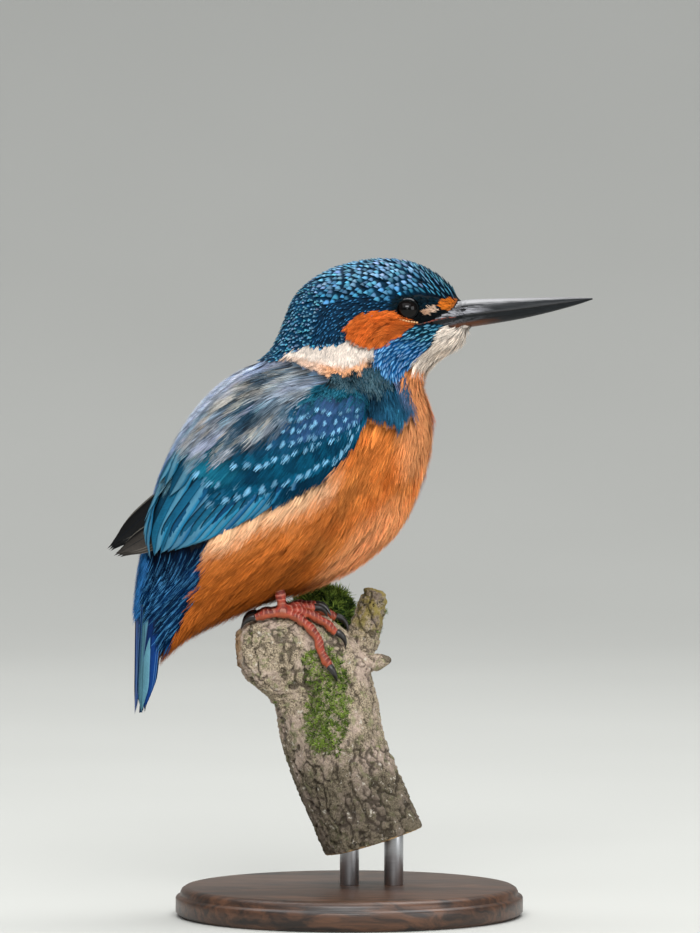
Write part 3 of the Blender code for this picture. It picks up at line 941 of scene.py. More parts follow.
# darker and paler vane, and tip mark, of each zone
PALETTE = {
    Zone.EYE: ("#06090a", "#06090a", "#06090a"),
    Zone.HORN: ("#06090a", "#101417", "#06090a"),
    Zone.LORE: ("#030506", "#0c1418", "#1c2b30"),
    Zone.CREAM: ("#a06c48", "#efdcc6", "#f6ebdd"),
    Zone.ORANGE_LORE: ("#a8480a", "#dc7f2a", "#f2a85c"),
    Zone.MASK: ("#020c12", "#06222e", "#123844"),
    Zone.EAR: ("#a8440e", "#e07c38", "#f0a468"),
    Zone.WHITE: ("#d8cbbf", "#e8ddd2", "#fbf7f2"),
    Zone.MALAR: ("#01141f", "#08425c", "#5fa6c4"),
    Zone.SHOULDER: ("#0a2230", "#305666", "#63828e"),
    Zone.WRIST: ("#042c3c", "#125c74", "#347c94"),
    Zone.THROAT: ("#ecdccb", "#fbf2e8", "#fffaf4"),
    Zone.BAND: ("#01141f", "#07304f", "#3a7cac"),
    Zone.CROWN: ("#00121c", "#053450", "#4a96c4"),
    Zone.NAPE: ("#01182a", "#0a3c5c", "#6aa8c6"),
    Zone.PECTORAL: ("#010f18", "#08344a", "#245878"),
    Zone.BREAST: ("#b4591e", "#e08e48", "#f2b47c"),
    # the mantle's pale grey-lavender tip marks are partly the feathers' colour and partly painted sheen
    Zone.MANTLE: ("#4a687c", "#8c98a8", "#b4bcc8"),
    # the back stripe's pale lavender-white is partly its own azure and partly painted sheen
    Zone.STRIPE: ("#7e9cc8", "#bccde8", "#e2ebf8"),
    Zone.RUMP: ("#010812", "#05305c", "#58a8e4"),
    Zone.TAIL: ("#04204c", "#0e4480", "#3f84b8"),
    Zone.WING: ("#02304a", "#0a5678", "#8fcbe8"),
}
# x, z, half width and half height of each painted shadow in a gap between folds of plumage
GAP_SHADOWS = ((20.4, 59.8, 2.6, 1.3), (8.6, 64.4, 1.6, 1.0), (18.6, 56.6, 0.9, 3.0),
             (14.0, 66.0, 2.6, 0.7), (19.2, 69.8, 0.7, 1.9))
# tint, tip, least level and strength of each streak
MANTLE_STREAKS = (("#1c6680", "#4a94a8", 0.04, 0.6), ("#a09a8e", "#c6c0b2", 0.05, 0.8),
                  ("#062238", "#184660", 0.14, 0.92), ("#8e9ab8", "#b6bed4", 0.15, 0.8))


# -------- feathers


Roots = dict[str, Array]
PLAIN = (-3.0, 1.0, 1.0)  # a tip mark too far off to show


@dataclass(frozen=True)
class VaneShape:
    """One feather with a closed vane, one unit long and wide, that rises to its tip."""

    rows: int = 5
    columns: int = 4
    stem: float = 0.55
    round_from: float = 0.5
    camber: float = 0.3
    rise_power: float = 1.2
    point: float = 0.5

    def build(self, name: str) -> Object:
        """Make the feather as a hidden template."""
        v = np.sin(np.linspace(0, 1, self.rows + 1) * math.pi / 2) ** 0.9
        across = np.linspace(-1, 1, self.columns + 1)
        rounding = np.clip((v - self.round_from) / (1 - self.round_from), 0, 0.992)
        half = 0.5 * (self.stem + (1 - self.stem) * smooth(v, 0, 0.45)) * (1 - rounding**2) ** self.point
        u, along = np.meshgrid(across, v)
        height = along**self.rise_power - self.camber * u**2
        bow = -0.1 * u**2 * smooth(along, 0.4, 1.0)
        points = triples(along + bow, u * half[:, None], height)
        lanes = triples(u, along, 0)
        return template(name, points.reshape(-1, 3), lanes.reshape(-1, 3),
            grid_faces(self.rows + 1, self.columns + 1, False))


@dataclass(frozen=True)
class TuftShape:
    """A loose feather of separate strands over a short vane, one unit long and wide."""

    strands: int = 7
    segments: int = 4
    thickness: float = 0.2
    splay: float = 0.25
    curl: float = 0.12
    ruffle: float = 0.35
    spread: float = 0.3
    taper: float = 0.85
    rounding: float = 0.28
    ragged: float = 0.16
    seed: int = 1

    def build(self, name: str) -> Object:
        """Make the tuft as a hidden template."""
        random = np.random.default_rng(self.seed)
        points, lanes, faces = [], [], []
        for k in range(self.strands):
            side = (k + 0.5) / self.strands * 2 - 1
            length = 1 - self.rounding * side * side + random.uniform(-1.0, 0.35) * self.ragged
            start = random.uniform(0, 0.12)
            bend = random.uniform(-1, 1) * self.curl
            height = random.uniform(-0.5, 0.5) * self.ruffle
            first = len(points)
            for i in range(self.segments + 1):
                v = i / self.segments
                along = start + (length - start) * v
                middle = self.spread * side + self.splay * side * v + bend * v * v
                half = 0.5 * self.thickness * (1 - self.taper * v**2.2)
                rise = v**1.1 + height * v
                for edge in (-1, 1):
                    points.append((along, middle + edge * half, rise))
                    lanes.append((side + edge / self.strands, v, k + 1))
                if i:
                    j = first + 2 * i
                    faces.append((j - 2, j, j + 1, j - 1))
        return template(name, np.array(points), np.array(lanes), faces)


def template(name: str, points: Array, lanes: Array, faces: Faces) -> Object:
    """A hidden mesh that feathers are instances of.

    Args:
        name: The template's name.
        points: Places in units of the feather's own length, width and lift.
        lanes: For each point, how far across (-1 to 1), how far along (0 to 1), and strand.
        faces: Corner numbers of each face.

    Returns:
        The template, outside the scene.
    """
    mesh = bpy.data.meshes.new(name)
    mesh.from_pydata(points.tolist(), [], faces)
    put_vectors(mesh, "lane", lanes)
    mesh.shade_smooth()
    return bpy.data.objects.new(name, mesh)


@dataclass(frozen=True)
class FeatherFinish:
    """The surface of one kind of feather."""

    name: str
    roughness: float = 0.55
    specular: float = 0.04
    barbs: float = 26.0
    streak: float = 0.35
    shade: float = 0.55
    strand_tone: float = 0.0
    spotted: bool = True
    mark_edge: tuple[float, float] = (0.4, 1.4)
    mark_strand: float = 0.45

    def build(self) -> Surface:
        """Make the material: barbs, painted shade toward the root, and the tip's mark."""
        m = Material(self.name, Specular_IOR_Level=self.specular)
        u, v, strand = m.parts("lane")
        chance, hand, _ = m.parts("chance")
        lean = v * self.barbs - m.maths("ABSOLUTE", u) * 5.0
        weave = m.cloud(m.vector(u * 1.5, lean, chance * 37.0 + strand * 3.1), 1.0, 3.0, 0.6)
        lone = m.node("ShaderNodeTexWhiteNoise", {0: m.vector(strand, chance * 91.0, hand)})
        tone = 1.0 + (weave - 0.5) * (2 * self.streak) + (lone - 0.5) * self.strand_tone
        # painted shade: darker toward the root, where the feathers above cover it
        tone = tone * ((1 - self.shade) + m.step(v, 0.0, 0.7) * self.shade)
        m.colour = m.scaled(m.attribute("tint"), tone)
        if self.spotted:
            middle, tall, wide = m.parts("spot")
            far = ((v - middle) / tall) ** 2.0 + (u / wide) ** 2.0 + (weave - 0.5) * 0.9
            worn = (1 - self.mark_strand) + lone * self.mark_strand
            m.paint((1.0 - m.step(far, *self.mark_edge)) * worn, m.attribute("mark"))
        return m.finish(weave, 0.05, 0.6, Roughness=self.roughness - 0.1 + weave * 0.2)


def coat_tree() -> Tree:
    """The tree that sets feathers on points, bends them along the skin and maps them.

    Each point holds facing, lie, size, seat on the bake map, and fit: how far the
    feather hugs the skin and how high it starts over it.
    """
    tree = Tree("Coat", [("Skin", "Object"), ("First", "Object"), ("Second", "Object"),
                         ("Third", "Object"), ("Patch", "Float"), ("Material", "Material")])
    maths = tree.vector_math
    facing, lie, root = (tree.named(name) for name in ("facing", "lie", "root"))
    shapes = tree.node("GeometryNodeGeometryToInstance")
    for name in ("Third", "Second", "First"):
        shape = tree.node("GeometryNodeObjectInfo", {0: tree.input(name)}, "Geometry")
        tree.tree.links.new(shape.socket, shapes.socket.node.inputs[0])
    place = tree.node("GeometryNodeInputPosition")
    rooted = tree.store(tree.input("Geometry"), "root", place)
    turn = tree.node("FunctionNodeAxesToRotation", {0: facing, 1: lie}, primary_axis="Z",
        secondary_axis="X")
    kind = tree.maths("FLOOR", tree.parts(tree.named("chance"))[0] * 2.999)
    placed = tree.node("GeometryNodeInstanceOnPoints", {
        "Points": rooted, "Instance": shapes, "Pick Instance": True, "Instance Index": kind,
        "Rotation": turn, "Scale": tree.named("size")})
    real = tree.node("GeometryNodeRealizeInstances", {0: placed})
    skin = tree.node("GeometryNodeObjectInfo", {0: tree.input("Skin")}, "Geometry")
    hug, rise, _ = tree.parts(tree.named("fit"))
    offset = maths("SUBTRACT", place, root)
    height = maths("DOT_PRODUCT", offset, facing)
    run = tree.scaled(lie, maths("DOT_PRODUCT", offset, lie))
    flat = maths("ADD", root, run)
    aside = maths("SUBTRACT", maths("SUBTRACT", offset, run), tree.scaled(facing, height))
    nearest = tree.node("GeometryNodeProximity", {0: skin, "Sample Position": flat})
    sought = {"Mesh": skin, "Value": tree.node("GeometryNodeInputNormal"), "Sample Position": flat}
    up = tree.node("GeometryNodeSampleNearestSurface", sought, data_type="FLOAT_VECTOR")
    bent = maths("ADD", nearest, tree.scaled(up, height + rise))
    level = tree.scaled(up, maths("DOT_PRODUCT", aside, up))
    bent = maths("ADD", bent, maths("SUBTRACT", aside, level))
    straight = maths("ADD", place, tree.scaled(facing, rise))
    final = tree.node("ShaderNodeMix", {0: hug, 4: straight, 5: bent}, 1, data_type="VECTOR")
    laid = tree.node("GeometryNodeSetPosition", {"Geometry": real, "Position": final})
    across, along, _ = tree.parts(tree.named("lane"))
    patch = tree.scaled(tree.vector(across * 0.5, along - 0.5, 0.0), tree.input("Patch"))
    spot = maths("ADD", tree.named("seat"), patch)
    tree.end(tree.store(laid, BAKE_MAP, spot, "FLOAT2", "CORNER"))
    return tree


@dataclass(frozen=True)
class Tract:
    """Like feathers spread over some zones; lengths in millimetres."""

    zones: tuple[Zone, ...]
    along: float
    across: float
    length: float
    width: float
    lift: float
    jitter: float = 0.3
    stray: float = 6.0
    spot: Triple = PLAIN
    relief: float = 0.0
    seen: float = 0.65
    front_spot: Optional[Triple] = None
    steep: float = 0.0
    bare: tuple[Zone, ...] = (Zone.HORN,)
    shimmer: float = 0.05

    def roots(self, form: Form, seed: int) -> Roots:
        """Spread the tract's feathers over the form.

        Args:
            form: What they stand on.
            seed: Of everything random.

        Returns:
            The attributes of the feathers' roots.
        """
        random = np.random.default_rng(seed)
        t, a = form.lattice(self.along, self.across, self.jitter, seed)
        place, facing = form.at(t, a)
        facing = unit(facing)
        here = zones_at(place)
        flank = ((here == Zone.MANTLE) * smooth(np.abs(place[:, 1]), 4, 9))[:, None]
        lie = unit(form.sample(form.flow, t, a) * (1 - flank) + form.heading(place, facing) * flank)
        shown = place + lie * (self.seen * self.length)
        zones = zones_at(shown)
        kept = np.isin(zones, self.zones) & ~np.isin(here, self.bare)
        t, a, place, zones, shown, facing, lie = (
            values[kept] for values in (t, a, place, zones, shown, facing, lie))
        count = len(t)
        lie = level_with(lie, facing)
        lap = triples(a * 60, t / 13, 0)
        clump = 0.65 * noise(lap, seed + 1) + 0.35 * noise(lap * (2.6, 1.6, 1.0), seed + 2)
        clump *= self.relief
        sway = 0.9 * noise(lap * 0.8, seed + 3) + 0.5 * noise(place / 4.0, seed)
        sway = np.radians(self.stray) * (sway + 0.4 * random.normal(size=count))
        front = smooth(place[:, 0], 27, 36) * smooth(np.abs(place[:, 1]), 0.5, 4.0)
        sway += math.radians(self.steep) * front * np.sign(place[:, 1])
        lie = lie * np.cos(sway)[:, None] + np.cross(facing, lie) * np.sin(sway)[:, None]
        tint, mark = colours_at(shown, zones)
        front = smooth(place[:, 0], 29, 37)[:, None]
        spot = self.spot * (1 - front) + (self.front_spot or self.spot) * front
        # random tone, with painted shade in the clumps' furrows and painted light on their ridges
        tint *= random.uniform(0.8, 1.2, (count, 1)) * (1 + 0.55 * clump)[:, None]
        hue = np.exp(self.shimmer * random.normal(0, (1.0, 0.25, 0.15), (count, 3)))
        grow = random.uniform(0.82, 1.18, count)
        return {
            "place": place, "facing": facing, "lie": lie, "tint": tint,
            "size": triples(self.length * grow, self.width * grow, self.lift * (1 + 0.8 * clump)),
            "seat": triples(a, t / form.rows, 0), "fit": triples(1, 0.5 * clump, 0),
            "mark": mark * random.uniform(0.35, 1.15, (count, 1)) * hue,
            "spot": spot * random.uniform((0.97, 0.8, 0.8), (1.03, 1.3, 1.1), (count, 3)),
            "chance": triples(random.random(count), 1, 0),
        }


def joined(groups: Sequence[Roots]) -> Roots:
    """Put several sets of roots together."""
    return {key: np.vstack([group[key] for group in groups]) for key in groups[0]}


@dataclass
class Coat:
    """Grows pieces of plumage on the skin."""

    skin: Object
    tree: Tree = field(default_factory=coat_tree)

    def grow(self, name: str, slot: str, roots: Roots, shapes: Sequence[Object],
            finish: Surface) -> Object:
        """Grow one piece.

        Args:
            name: The piece's name.
            slot: The record's material slot that it stands for.
            roots: The feathers' roots.
            shapes: Three templates to pick from.
            finish: The material.

        Returns:
            The finished piece.
        """
        mesh = bpy.data.meshes.new(name)
        mesh.from_pydata(to_scene(roots["place"]).tolist(), [], [])
        seat = roots["seat"]
        low, high = seat.min(0), seat.max(0)
        seat = (0.01 + 0.98 * (seat - low) / np.maximum(high - low, 1e-6)) * (1, 1, 0)
        values = {"fit": np.zeros(3), "mark": roots["tint"], "spot": PLAIN, **roots, "seat": seat}
        values.update(size=values["size"] * MM, fit=values["fit"] * (1, MM, 1))
        del values["place"]
        for key, rows in values.items():
            put_vectors(mesh, key, rows)
        mesh = self.tree.grow(name, mesh, {
            "Skin": self.skin, "First": shapes[0], "Second": shapes[1], "Third": shapes[2],
            "Patch": PATCH, "Material": finish})
        for spent in ("facing", "lie", "size", "seat", "fit", "root"):
            mesh.attributes.remove(mesh.attributes[spent])
        LOG.info("%s: %d feathers", name, len(seat))
        return finish_piece(name, mesh, finish, slot)


# -------- wings and tail


@dataclass(frozen=True)
class Row:
    """Feathers side by side whose tips follow a line in side view; millimetres."""

    tips: Line
    count: int
    length: float
    width: float
    lift: float = 0.5
    rise: float = 0.0
    climb: float = 0.0
    turn: tuple[float, float] = (0.0, 0.0)
    spot: Triple = PLAIN
    tints: tuple[str, ...] = ("#0a4a68", "#127090")
    stray: float = 0.3

    def roots(self, form: Form, side: Side, seed: int) -> Roots:
        """Work out the row's feathers.

        Args:
            form: What they lie on.
            side: Which side.
            seed: Of the small differences between feathers.

        Returns:
            The attributes of the feathers' roots.
        """
        random, count = np.random.default_rng(seed + side), self.count
        share = (np.arange(count) + 0.5) / count
        tips = curve_at(self.tips, share * (len(self.tips) - 1))
        tips = tips + random.normal(0, self.stray, tips.shape)
        tip, facing = form.at(*form.on_side(tips, side))
        facing = unit(facing)
        lie = form.heading(tip, facing)
        turn = self.turn[0] + (self.turn[1] - self.turn[0]) * share + random.normal(0, 2.0, count)
        turn = side * np.radians(turn)[:, None]
        lie = lie * np.cos(turn) + np.cross(facing, lie) * np.sin(turn)
        length = self.length * random.uniform(0.95, 1.05, count)
        start = tip - lie * length[:, None]
        t, a = form.on_side(start[:, [0, 2]], side)
        place, root_facing = form.at(t, a)
        length = np.minimum(length, 1.04 * np.linalg.norm(tip - place, axis=1))
        return {
            "place": place, "facing": unit(root_facing + facing), "lie": unit(tip - place),
            "size": triples(length, self.width, self.lift),
            "seat": triples(a, t / form.rows, 0),
            "fit": triples(1, self.rise + self.climb * share, 0),
            "tint": between(self.tints, random.uniform(0, 1, (count, 1))),
            "mark": np.outer(random.uniform(0.45, 1.1, count), linear(COVERT_MARK)),
            "spot": self.spot * random.uniform((0.97, 0.8, 0.8), (1.03, 1.3, 1.2), (count, 3)),
            "chance": triples(random.random(count), -side, share),
        }


COVERT = (0.88, 0.13, 0.36)
COVERT_MARK = "#7cb8dc"
COVERTS = (
    Row(((-9, 30.2), (-3, 33.0), (4, 36.8), (9, 40.2), (12.5, 44.2), (15.4, 49.5)), 13, 10, 4.4,
        rise=0.3, turn=(-18, -22), tints=("#02283e", "#053c56")),
    Row(((-27, 31.0), (-20.6, 32.2), (-16, 34.0), (-10, 35.5), (-4.4, 36.7), (0, 38.8),
         (4, 40.4), (8, 42.2), (10.8, 44.4), (13.6, 47.8), (15.4, 51.5)), 16, 9, 4.4, 0.5, 0.5,
        spot=COVERT, tints=("#03324a", "#0a5271")),
    Row(((-26, 34.6), (-18, 36.6), (-8, 38.6), (0, 41), (6, 43.8), (11, 47)), 13, 8, 4.0, 0.5, 0.6,
        tints=("#022c43", "#074a65")),
    Row(((-29.4, 38.4), (-25.5, 37.3), (-21.8, 35.6)), 4, 10, 4.4, 0.5, 0.8, spot=COVERT,
        tints=("#0a4d65", "#1a6880")),
    Row(((-20, 40.6), (-15, 41.2), (-11, 41.7), (-7.6, 42.4), (-3.4, 43.6), (0.2, 45.3),
         (3.2, 46.5), (7, 47.5), (10.6, 48.7), (13.6, 50.8)), 13, 8, 4.2, 0.5, 0.7, spot=COVERT,
        tints=("#03364f", "#0c526f")),
    Row(((-14, 44.2), (-5, 45), (2, 47), (8, 48.8), (14, 52)), 10, 7, 3.8, 0.5, 0.75,
        tints=("#03364f", "#114361")),
    # the lavender-blue second tints of these three rows stand partly for painted sheen on some coverts
    Row(((-10, 46.2), (-4.3, 47.0), (-0.2, 48.0), (3.9, 49.4), (7.6, 50.1), (12.0, 51.6),
         (15.6, 53.4)), 11, 6.6, 3.7, 0.5, 0.85, spot=COVERT, tints=("#06405b", "#2c4c78")),
    Row(((-6, 49.8), (-1.6, 50.8), (1.6, 51.8), (5, 52.6), (10.4, 53.4), (15.8, 54.8)), 10, 6,
        3.4, 0.5, 0.95, spot=COVERT, tints=("#053954", "#284872")),
    Row(((-4, 53.6), (-0.8, 54.1), (1.3, 54.5), (4.1, 55.6), (7.6, 55.6), (11.7, 55.9),
         (17.0, 56.6)), 11, 5.4, 3.1, 0.5, 1.05, spot=COVERT, tints=("#074057", "#2f4b74")),
)
QUILLS = (
    # the secondaries, from the wrist back, each lying over the one before
    Row(((-4, 31.6), (-14, 27.4), (-21, 23.8), (-27, 22.0), (-31.5, 20.8), (-35.5, 20.2),
         (-39.0, 19.8), (-42.0, 19.6), (-43.2, 20.6)), 14, 31, 5.4, 0.5, 0.2, 0.8,
        (-20, -4), tints=("#0a4070", "#1f7496"), stray=0.1),
    # tertials
    Row(((-43.3, 22.0), (-42.4, 26.6), (-41.0, 30.6)), 3, 20, 4.6, 1.3, 0.3, 0.2, (-4, 2),
        tints=("#185a78", "#3a7a94"), stray=0.1),
    Row(((-33.6, 32.8), (-35.6, 35.6), (-37.6, 38.0)), 3, 24, 5.6, 1.9, 0.2, 0.2, (-2, 2),
        tints=("#083e5a", "#145a76"), stray=0.1),
)


@dataclass(frozen=True)
class Blades:
    """Stiff feathers that stand free of the skin, from root to tip; millimetres.

    Roots and tips are (forward, outward, up) and are mirrored for the right side.
    """

    roots_at: Line
    tips_at: Line
    count: int
    width: float
    facing: Triple
    layer: float = 0.12
    tints: tuple[str, ...] = ("#16181a", "#2a2a2a")

    def roots(self, side: Side, seed: int) -> Roots:
        """Work out the feathers of one side.

        Args:
            side: Which side.
            seed: Of the small differences between feathers.

        Returns:
            The attributes of the feathers' roots.
        """
        random, count = np.random.default_rng(seed), self.count
        share, flip = np.linspace(0, 1, count), (1.0, float(side), 1.0)
        place, tip = (
            curve_at(rows, share * (len(rows) - 1)) * flip for rows in (self.roots_at, self.tips_at))
        lie = unit(tip - place)
        facing = level_with(np.array(self.facing) * flip, lie)
        tint = between(self.tints, random.uniform(0, 1, (count, 1)))
        size = triples(np.linalg.norm(tip - place, axis=1), self.width, 0.25)
        place = place + facing * (self.layer * np.arange(count))[:, None]
        return {
            "place": place, "facing": facing, "lie": lie, "size": size,
            "seat": triples(place[:, 1], share * 30 - place[:, 2], 0), "tint": tint,
            "chance": triples(random.random(count), -side, share),
        }


PRIMARIES = (
    Blades(((-31, 10.2, 27.0), (-31, 10.0, 29.0)), ((-48.4, 6.4, 17.2), (-50.0, 6.2, 17.6)),
           3, 5.4, (-0.2, 1.0, 0.1), 0.15, ("#2c2926", "#3c3834")),
    Blades(((-32.4, 8.8, 34.0), (-32.6, 8.2, 36.8)), ((-51.0, 5.8, 18.8), (-51.8, 5.5, 19.4)),
           3, 5.4, (-0.2, 1.0, 0.1), 0.15, ("#08090a", "#141516")),
)
TAIL_TOP = (
    Blades(((-42.5, 6.2, 4), (-43.5, 3.2, 4), (-43.8, 0.6, 4)),
           ((-43.5, 6.6, -22.5), (-43.8, 3.6, -24.8), (-43.9, 0.9, -25.6)), 6, 4.2,
           (-1.0, 0.12, 0.0), 0.1, ("#0a3474", "#1454a0")),
    Blades(((-38.2, 7.7, 5), (-38.8, 7.7, 5)), ((-41.2, 9.0, -22.5), (-41.8, 8.9, -23.5)), 2, 3.4,
           (-0.1, 1.0, 0.0), 0.2, ("#05204c", "#0a3470")),
    Blades(((-41.3, 7.1, 4.5), (-41.4, 7.1, 4.5)), ((-42.4, 9.3, -23.8), (-42.5, 9.3, -24.4)), 2, 3.4,
           (-0.3, 1.0, 0.0), 0.12, ("#42707e", "#557f8e")),
)
TAIL_UNDER = (
    Blades(((-39.0, 6.6, -4), (-38.6, 3.6, -6), (-38.6, 0.8, -7)),
           ((-42.9, 7.0, -21.5), (-42.6, 3.8, -24.2), (-42.6, 1.0, -24.9)), 6, 4.2,
           (1.0, 0.1, 0.0), 0.08, ("#1c2630", "#303a44")),
)


@dataclass(frozen=True)
class VaneFinish:
    """The surface of a long flight feather: two webs, a shaft, barbs, a rim and painted shade across the
    vane.
    """

    name: str
    inner: str = "#06182a"
    edge: str = "#8fb8cc"
    edge_amount: float = 0.4
    roughness: float = 0.42
    band: str = "#6f9fb0"
    band_amount: float = 0.0
    fold: tuple[float, float] = (-0.8, -0.5)

    def build(self) -> Surface:
        """Make the material."""
        m = Material(self.name, Specular_IOR_Level=0.08)
        u, v, _ = m.parts("lane")
        chance, hand, _ = m.parts("chance")
        u = u * hand
        side = m.maths("ABSOLUTE", u)
        weave = m.cloud(m.vector(u * 2.0, v * 90.0 - side * 9.0, chance * 37.0), 1.0, 3.0, 0.6)
        broad = m.cloud(m.vector(u * 1.2, v * 6.0, chance * 53.0), 1.0, 2.0)
        tone = 1.0 + (weave - 0.5) * 0.7 + (broad - 0.5) * 0.6
        # painted shade across the vane, darker toward its covered inner side
        tone = tone * (0.6 + m.step(u, -0.7, 0.9) * 0.6)
        m.colour = m.scaled(linear(self.inner), tone)
        m.paint(m.step(u + (weave - 0.5) * 0.1, *self.fold), m.scaled(m.attribute("tint"), tone))
        band = m.step(u, 0.0, 0.25) * (1.0 - m.step(u, 0.5, 0.85)) * (0.6 + broad * 0.8)
        m.paint(band * self.band_amount, self.band)
        shaft = 1.0 - m.step(side, 0.02, 0.07)
        m.paint(shaft * 0.55, "#081019")
        # the rim is a pale worn edge on most quills; the wing quills' dark rim is partly their own edge and
        # partly painted shadow between overlapping quills
        rim = m.step(side + m.step(v, 0.94, 1.0) * 0.4, 0.86, 1.0)
        m.paint(rim * self.edge_amount, self.edge)
        return m.finish(weave + shaft * 1.5, 0.05, 0.7, Roughness=self.roughness - 0.1 + weave * 0.2)


@dataclass
class Wings:
    """Both wings' coverts, inner quills and primaries."""

    form: Form
    coat: Coat

    def build(self) -> None:
        """Grow every row on both sides."""
        scales = [TuftShape(13, 6, 0.12, 0.06, 0.05, 0.16, 0.42, 0.6, 0.3, 0.12, seed=k)
                  .build(f"covert_{k}") for k in (11, 12, 13)]
        quills = [VaneShape(14, 8, stem=0.8, camber=c, round_from=0.8, rise_power=1.0)
                  .build(f"quill_{c}") for c in (0.25, 0.3, 0.35)]
        tips = [VaneShape(16, 6, stem=0.9, camber=0.4, round_from=0.5, rise_power=1.0, point=0.8)
                .build(f"primary_{k}") for k in range(3)]
        covert = FeatherFinish("wing_covert", roughness=0.5, streak=0.5, barbs=14, strand_tone=0.5,
            mark_edge=(0.1, 1.9), mark_strand=0.2).build()
        # dark rim: partly the quills' own edge, partly painted shadow between them
        quill = VaneFinish("wing_quill", edge="#04202e", edge_amount=0.75, band_amount=0.4,
            fold=(-1.0, -0.72)).build()
        black = VaneFinish("primary_quill", "#050506", "#77736a", 0.6, 0.55).build()
        tail = VaneFinish("tail_quill", "#0a2450", "#6fa4c8", 0.35).build()
        for side in Side:
            for name, rows, shapes, finish in (("coverts_", COVERTS, scales, covert),
                    ("quills_", QUILLS, quills, quill)):
                roots = joined([row.roots(self.form, side, 70 + k) for k, row in enumerate(rows)])
                self.coat.grow(name + side.word, "wing_feathers", roots, shapes, finish)
            roots = joined([row.roots(side, 90) for row in PRIMARIES])
            piece = self.coat.grow("primary_quills_" + side.word, "flight_feathers", roots, tips, black)
            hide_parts("primaries_" + side.word)
        for name, rows in (("tail_quills", TAIL_TOP), ("undertail_quills", TAIL_UNDER)):
            roots = joined([row.roots(side, 95 + k) for side in (Side.LEFT, Side.RIGHT)
                            for k, row in enumerate(rows)])
            self.coat.grow(name, "tail_feathers", roots, quills, tail)


# -------- bill, eyes and feet


ROD_XS, ROD_Y, ROD_RADIUS = (13.4, 25.4), 2.0, 2.6


def closed(rings: Array) -> Shell:
    """Join rings of points to a closed shell that faces outward.

    Args:
        rings: Rows of points, each row going once round.

    Returns:
        The shell's points and faces, its ends drawn together at their middles.
    """
    count, around = rings.shape[:2]
    points = np.vstack((rings.reshape(-1, 3), rings[0].mean(0), rings[-1].mean(0)))
    faces = grid_faces(count, around, True)
    last, pole = (count - 1) * around, count * around
    for j in range(around):
        k = (j + 1) % around
        faces += [(k, j, pole), (last + j, last + k, pole + 1)]
    middle = points.mean(0)
    a, b, c = (points[[face[i] for face in faces]] - middle for i in range(3))
    if (a * np.cross(b, c)).sum() < 0:
        faces = [face[::-1] for face in faces]
    return points, faces


def together(shells: Sequence[Shell]) -> Shell:
    """Put several shells into one list of points and faces."""
    points, faces, first = [], [], 0
    for spots, corners in shells:
        points.append(spots)
        faces += [tuple(first + i for i in face) for face in corners]
        first += len(spots)
    return np.vstack(points), faces


def tube(line: Array, radii: Array, around: int = 14) -> Shell:
    """A closed round tube.

    Args:
        line: Its middle line.
        radii: Its radius at each point of the line.
        around: Points in each ring.

    Returns:
        The shell.
    """
    line = np.asarray(line, float)
    ahead = unit(np.gradient(line, axis=0))
    side = unit(np.cross(ahead, (0.31, 0.05, 0.95)))
    up = np.cross(side, ahead)
    turn = turns(around)
    ring = np.cos(turn)[None, :, None] * side[:, None] + np.sin(turn)[None, :, None] * up[:, None]
    return closed(line[:, None] + ring * np.asarray(radii)[:, None, None])


def remeshed(node: str, voxel: float, rounds: int, name: str) -> Mesh:
    """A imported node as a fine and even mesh.

    Args:
        node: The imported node.
        voxel: Size of its faces, in millimetres.
        rounds: How often it is smoothed.
        name: The mesh's name.

    Returns:
        The mesh, without materials or attributes of its own.
    """
    shape = bmesh.new()
    shape.from_mesh(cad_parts[node].data)
    bmesh.ops.remove_doubles(shape, verts=shape.verts, dist=1e-6)
    bmesh.ops.recalc_face_normals(shape, faces=shape.faces)
    limits = {"angle_face_threshold": 3.1, "angle_shape_threshold": 3.1}
    bmesh.ops.join_triangles(shape, faces=shape.faces, **limits)
    mesh = bpy.data.meshes.new(node)
    shape.to_mesh(mesh)
    shape.free()
    obj = add_object(node + "_copy", mesh)
    for kind, settings in (("REMESH", {"mode": "VOXEL", "voxel_size": voxel * MM}),
            ("SMOOTH", {"factor": 0.5, "iterations": rounds})):
        modifier = obj.modifiers.new(kind.title(), kind)
        for key, value in settings.items():
            setattr(modifier, key, value)
    return plain_mesh(obj, name)


def read_mesh(mesh: Mesh) -> tuple[Array, Array]:
    """Points of the bird's frame and outward directions of a mesh."""
    flat = np.empty((2, len(mesh.vertices) * 3), np.float32)
    mesh.vertices.foreach_get("co", flat[0])
    mesh.vertices.foreach_get("normal", flat[1])
    return to_bird(flat[0].reshape(-1, 3)), flat[1].reshape(-1, 3).astype(float)


def move_mesh(mesh: Mesh, points: Array) -> None:
    """Put a mesh's points where they should be in the bird's frame."""
    mesh.vertices.foreach_set("co", to_scene(points).astype(np.float32).ravel())
    mesh.update()


def finish_piece(name: str, shape: Union[Shell, Mesh], material: Surface, slot: str,
        replaced: Sequence[str] = ()) -> Object:
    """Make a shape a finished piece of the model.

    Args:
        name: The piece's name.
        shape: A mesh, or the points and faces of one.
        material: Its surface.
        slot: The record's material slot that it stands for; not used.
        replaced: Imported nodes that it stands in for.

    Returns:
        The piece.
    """
    mesh = make_mesh(name, *shape) if isinstance(shape, tuple) else shape
    if material.name not in mesh.materials:
        mesh.materials.append(material)
    piece = add_object(name, mesh)
    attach(piece, "root")
    if replaced:
        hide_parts(*replaced)
    LOG.info("%s: %d faces", name, len(mesh.polygons))
    return piece


